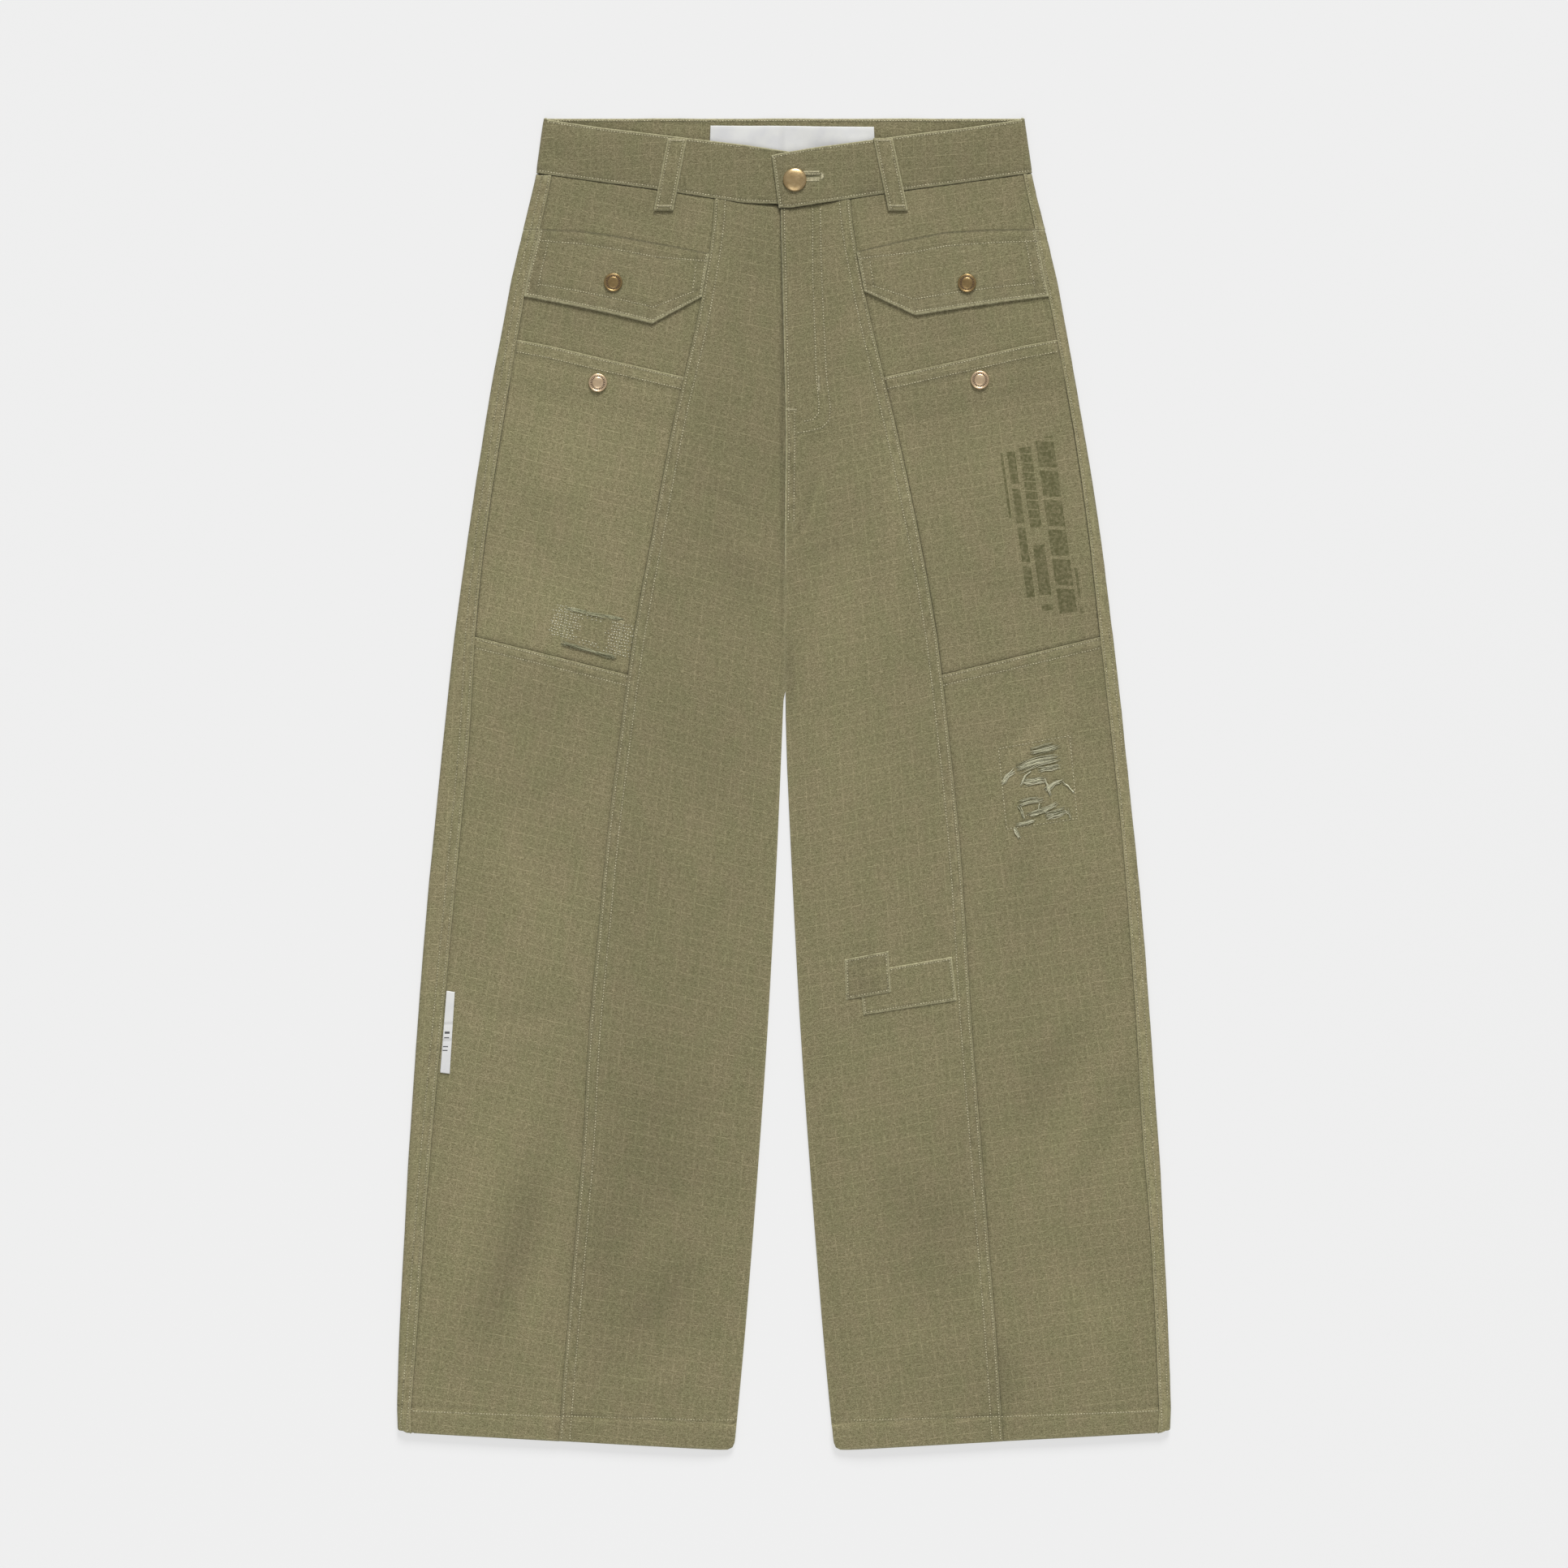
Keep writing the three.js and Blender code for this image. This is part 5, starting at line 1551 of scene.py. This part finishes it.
# ------------------------------------------------------------------------------- darned patch
# A raw-edged patch on the wearer's right thigh pocket. Rows of small pale hand stitches hold it
# down past either side, and its top and foot are frayed into loose yarns.
SEED_STITCH = (1.6, 1.0, 0.6)
SEED_PITCH = {"along": 2.2, "down": 2.25}
SEED_BLOCKS = [
    # distances in from the patch's inner edge and shares of the way down it, and the gaps between
    {"start": -10, "stop": 13, "top": 0.1, "foot": 1.02, "gap": 1.0},
    {"start": 33, "stop": 58, "top": -0.06, "foot": 0.9, "gap": 1.0},
    {"start": 14, "stop": 33, "top": 0.06, "foot": 0.24, "gap": 1.7},
    {"start": 14, "stop": 34, "top": 0.76, "foot": 0.96, "gap": 1.3},
]
FRAY_ENDS = {"count": 46, "length": 2.6}
pale_thread = thread_material("pale darning thread", srgb(88, 84, 58), srgb(234, 230, 202))
cloth_yarn = thread_material("cloth yarn", srgb(128, 128, 96), srgb(188, 187, 153))
pocket = bpy.data.objects["thigh_pocket_cloth_right"]
darned = Panel("darned_patch", -1, all_round("cut"), seed=95, flat=FLAT, on=top_of(pocket))
piece = darned.build("darned_patch_cloth", "side_right", cell=1.7)
cloth_facts(piece, ["darned_patch"])
chance = np.random.default_rng(96)
under_seeds = top_of(piece, pocket)
seed_rows = []
for block in SEED_BLOCKS:
    span = block["foot"] - block["top"]
    for i in range(int(span * darned.skin.length / SEED_PITCH["down"])):
        s = np.arange(block["start"] + chance.uniform(0, 5), block["stop"] - chance.uniform(0, 4),
                      SEED_PITCH["along"] * block["gap"])
        t = darned.skin.length * block["top"] + SEED_PITCH["down"] * (i + chance.normal(0, 0.1, s.shape))
        seed_rows.append(laid_on(under_seeds, darned.skin.plan(s + chance.normal(0, 0.3, s.shape), t)))
sew("darned_patch_seed_stitches", seed_rows, size=SEED_STITCH, tone=0.8, material=pale_thread)
fray = []
for key, way in (("top", 1), ("foot", -1)):
    curve = getattr(darned.skin, key)
    for start in (0.0, 0.3, 0.6):
        stretch = curve.at(np.linspace(start, start + 0.4, 4)) + (0, 0.5)
        fray.append({"path": stretch.tolist(), "spread": 1.8, "count": 8})
    for share in chance.uniform(0.02, 0.98, FRAY_ENDS["count"] // 2):
        x, y = curve.at(share)
        lean = chance.normal(0, 1.2)
        tip = (x + lean, y + way * FRAY_ENDS["length"] * chance.uniform(0.5, 1.3))
        fray.append({"path": [(x, y - way), ((x + tip[0]) / 2, (y + tip[1]) / 2), tip],
                     "spread": 0.3, "count": 1})
strands("darned_patch_frayed_yarns", fray, [piece, pocket], seed=97, radius=0.17, fullness=1.4,
        material=cloth_yarn)


# -------------------------------------------------------------------------------------- labels
# Woven white satin tape. The wide one is sewn inside the back of the waistband, and the small one
# is caught in the wearer's right leg with two soft folds across it. Both carry plain bars at most.
SATIN_WHITE = srgb(214, 214, 211)
SATIN_SHADE = srgb(206, 206, 206)
LABEL_BARS = [
    # centre along x and y, and half sizes, in millimetres
    {"x": -265.5, "y": -196, "w": 2.0, "h": 0.9}, {"x": -265.9, "y": -200, "w": 2.0, "h": 0.45},
    {"x": -266.8, "y": -207, "w": 2.0, "h": 0.45}, {"x": -267.2, "y": -210, "w": 2.0, "h": 0.45},
]
LABEL_FOLDS = [[(-274, -189.5), (-256, -188.5)], [(-274, -202.5), (-256, -201.5)]]
LABEL_WAVES = [
    {"path": [(-48, 500), (-30, 510), (-8, 517)], "width": 8, "rise": 0.55},
    {"path": [(6, 514), (20, 505), (44, 500)], "width": 7, "rise": -0.5},
    {"path": [(40, 516), (54, 508), (66, 504)], "width": 6, "rise": 0.45},
]


def satin_material(name, bars):
    """White satin with fine ribs across, a little grey in places, and bars woven into it."""
    material, tree, surface = new_material(name)
    place = object_place(tree)
    cloudy = ranged(tree, speckle(tree, place, 0.012, (1, 1), 2.0), 0.4, 0.7)
    colour = blend_colours(tree, cloudy, SATIN_WHITE, SATIN_SHADE)
    if bars:
        colour = blend_colours(tree, bar_mask(tree, place, bars), colour, srgb(74, 74, 76))
    tree.links.new(shaded(tree, colour), surface.inputs["Base Color"])
    ribs = speckle(tree, place, 0.0004, (12, 1), 1.0)
    bump = wire(tree, "ShaderNodeBump", {"Height": ribs, "Strength": 0.3, "Distance": 0.08 * MM})
    tree.links.new(bump.outputs[0], surface.inputs["Normal"])
    surface.inputs["Roughness"].default_value = 0.45
    surface.inputs["Sheen Weight"].default_value = 0.2
    return material


def label_waves(x, y):
    """The wide tape's slack, between its two stitched ends, with painted light and shade on its waves."""
    rise = sum(crease(x, y, **row) for row in LABEL_WAVES)
    return rise, np.zeros(x.shape), rise * 0.12


def label_folds(x, y):
    """The two folds across the small tape, with painted shade in them."""
    rise, wear, shade = grooves(x, y, LABEL_FOLDS, depth=0.35, width=1.1)
    return rise, wear, shade * 1.4


LABELS = [
    {"node": "waist_label", "sign": 1, "cell": 2.4, "flat": (0.131, 0.027), "area": 0.0035,
     "on": "waistband_cloth", "relief": label_waves, "bars": ()},
    {"node": "side_label", "sign": -1, "cell": 0.8, "flat": (0.0105, 0.066), "area": 0.00045,
     "on": "side_lower_cloth_right", "relief": label_folds, "bars": LABEL_BARS},
]
for i, row in enumerate(LABELS):
    panel = Panel(row["node"], row["sign"], all_round("cut"), seed=110 + i, relief=row["relief"], flat=FLAT)
    satin = satin_material(f"{row['node']} satin", row["bars"])
    piece = panel.build(f"{row['node']}_tape", "straight", cell=row["cell"], material=satin)
    cloth_facts(piece, [row["node"]])


# ------------------------------------------------------------------------------ brass fasteners
# A domed jeans button on the waistband and four snap caps on the pockets, pressed from brass and
# lacquered. Each cap has a rolled rim and a sunk ring of even ticks round a plain raised centre.
BRASS = {"bright": srgb(214, 188, 142), "deep": srgb(166, 139, 94)}
ANTIQUE = {"bright": srgb(184, 156, 106), "deep": srgb(120, 98, 62)}
ROSE = {"bright": srgb(244, 220, 184), "deep": srgb(208, 176, 138)}
ENAMEL, WORN_ENAMEL = srgb(44, 28, 17), srgb(86, 60, 38)
ROUND = 64
CAP_THICK = 0.9
BUTTON_SINK = 2.3            # the button's shank goes this far down through the buttonhole
RIM = {"width": 0.22, "segments": 3, "sharper than": 38}
BUTTON_PROFILE = [
    # how far in from the last ring, and how far up, in millimetres
    {"inset": 0.35, "rise": 0.45}, {"inset": 0.55, "rise": 0.38}, {"inset": 1.1, "rise": 0.42},
    {"inset": 1.8, "rise": 0.36}, {"inset": 2.2, "rise": 0.22}, {"inset": 2.0, "rise": 0.07},
]
SNAP_PROFILE = [
    {"inset": 0.3, "rise": 0.36}, {"inset": 0.4, "rise": 0.18}, {"inset": 0.45, "rise": -0.08},
    {"inset": 0.3, "rise": -0.26}, {"inset": 1.35, "rise": -0.02}, {"inset": 0.25, "rise": 0.24},
    {"inset": 0.4, "rise": 0.1}, {"inset": 2.0, "rise": 0.12},
]
TICKS = {"count": 24, "radius": 5.05, "length": 1.45, "width": 0.6, "height": 0.3, "above": 1.12}


def brass_material(name, tones):
    """Cast and pressed brass, stained here and there and finely brushed."""
    material, tree, surface = new_material(name)
    place = object_place(tree)
    stain = speckle(tree, place, 0.0035, (1, 1), 3.0)
    brushed = speckle(tree, place, 0.00025, (14, 1), 2.0)
    tree.links.new(blend_colours(tree, stain, tones["deep"], tones["bright"]), surface.inputs["Base Color"])
    tree.links.new(ranged(tree, brushed, 0.3, 0.7, 0.26, 0.44), surface.inputs["Roughness"])
    bump = wire(tree, "ShaderNodeBump", {"Height": brushed, "Strength": 0.25, "Distance": 0.02 * MM})
    tree.links.new(bump.outputs[0], surface.inputs["Normal"])
    surface.inputs["Metallic"].default_value = 0.9
    surface.inputs["Coat Weight"].default_value = 0.25
    return material


enamel, tree, surface = new_material("dark tick enamel")
worn = speckle(tree, object_place(tree), 0.0006, (1, 1), 2.0)
tree.links.new(blend_colours(tree, worn, ENAMEL, WORN_ENAMEL), surface.inputs["Base Color"])
surface.inputs["Roughness"].default_value = 0.5


def pressed_cap(name, node, sink, profile, material):
    """A round cap as large as its node: a disc whose face is inset and raised ring by ring. It
    has no UV map, as nothing reads one and the bevel would fill it differently in each run."""
    low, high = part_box(node)
    centre = (low + high) / 2
    radius = (high.x - low.x) / 2
    base = low.z + sink * MM
    bpy.ops.object.select_all(action="DESELECT")
    bpy.ops.mesh.primitive_cylinder_add(vertices=ROUND, radius=radius, depth=CAP_THICK * MM,
                                        location=(centre.x, centre.y, base + CAP_THICK * MM / 2),
                                        calc_uvs=False)
    cap = bpy.context.object
    cap.name = name
    bpy.ops.object.transform_apply(location=True)
    bpy.ops.object.mode_set(mode="EDIT")
    bpy.ops.mesh.select_mode(type="FACE")
    bpy.ops.mesh.select_all(action="DESELECT")
    bpy.ops.object.mode_set(mode="OBJECT")
    for face in cap.data.polygons:
        face.select = face.normal.z > 0.9
    bpy.ops.object.mode_set(mode="EDIT")
    for ring in profile:
        bpy.ops.mesh.inset(thickness=ring["inset"] * MM, depth=ring["rise"] * MM)
    bpy.ops.mesh.poke()
    bpy.ops.object.mode_set(mode="OBJECT")
    bevel = cap.modifiers.new("rolled rim", "BEVEL")
    bevel.width = RIM["width"] * MM
    bevel.segments = RIM["segments"]
    bevel.limit_method = "ANGLE"
    bevel.angle_limit = math.radians(RIM["sharper than"])
    bpy.ops.object.modifier_apply(modifier="rolled rim")
    bpy.ops.object.shade_smooth_by_angle(angle=math.radians(42))
    cap.data.materials.append(material)
    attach(cap, "root")
    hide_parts(node)
    return centre, base


def ring_of_ticks(name, centre, height):
    """Even ticks in the cap's sunk ring: one is modelled and the rest are its copies."""
    bpy.ops.object.select_all(action="DESELECT")
    size = (TICKS["length"] * MM, TICKS["width"] * MM, TICKS["height"] * MM)
    bpy.ops.mesh.primitive_cube_add(size=1, location=(TICKS["radius"] * MM, 0, 0), scale=size)
    first = bpy.context.object
    bpy.ops.object.transform_apply(location=True, scale=True)
    copies = [first]
    for i in range(1, TICKS["count"]):
        copy = first.copy()
        copy.data = first.data.copy()
        bpy.context.scene.collection.objects.link(copy)
        copy.rotation_euler.z = math.tau * i / TICKS["count"]
        copies.append(copy)
    for copy in copies:
        copy.location = (centre.x, centre.y, height)
        copy.select_set(True)
    bpy.context.view_layer.objects.active = first
    bpy.ops.object.join()
    bpy.ops.object.transform_apply(location=True, rotation=True)
    first.name = name
    first.data.materials.append(enamel)
    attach(first, "root")


pressed_cap("waist_button_cap", "waist_button", BUTTON_SINK, BUTTON_PROFILE,
            brass_material("lacquered brass", BRASS))
cap_brass = brass_material("antique brass", ANTIQUE)
rose_brass = brass_material("bright rose brass", ROSE)
for leg in LEGS:
    for place, finish in (("flap", cap_brass), ("pocket", rose_brass)):
        node = f"{place}_snap_{leg}"
        centre, base = pressed_cap(f"{node}_cap", node, 0.0, SNAP_PROFILE, finish)
        ring_of_ticks(f"{node}_ticks", centre, base + TICKS["above"] * MM)
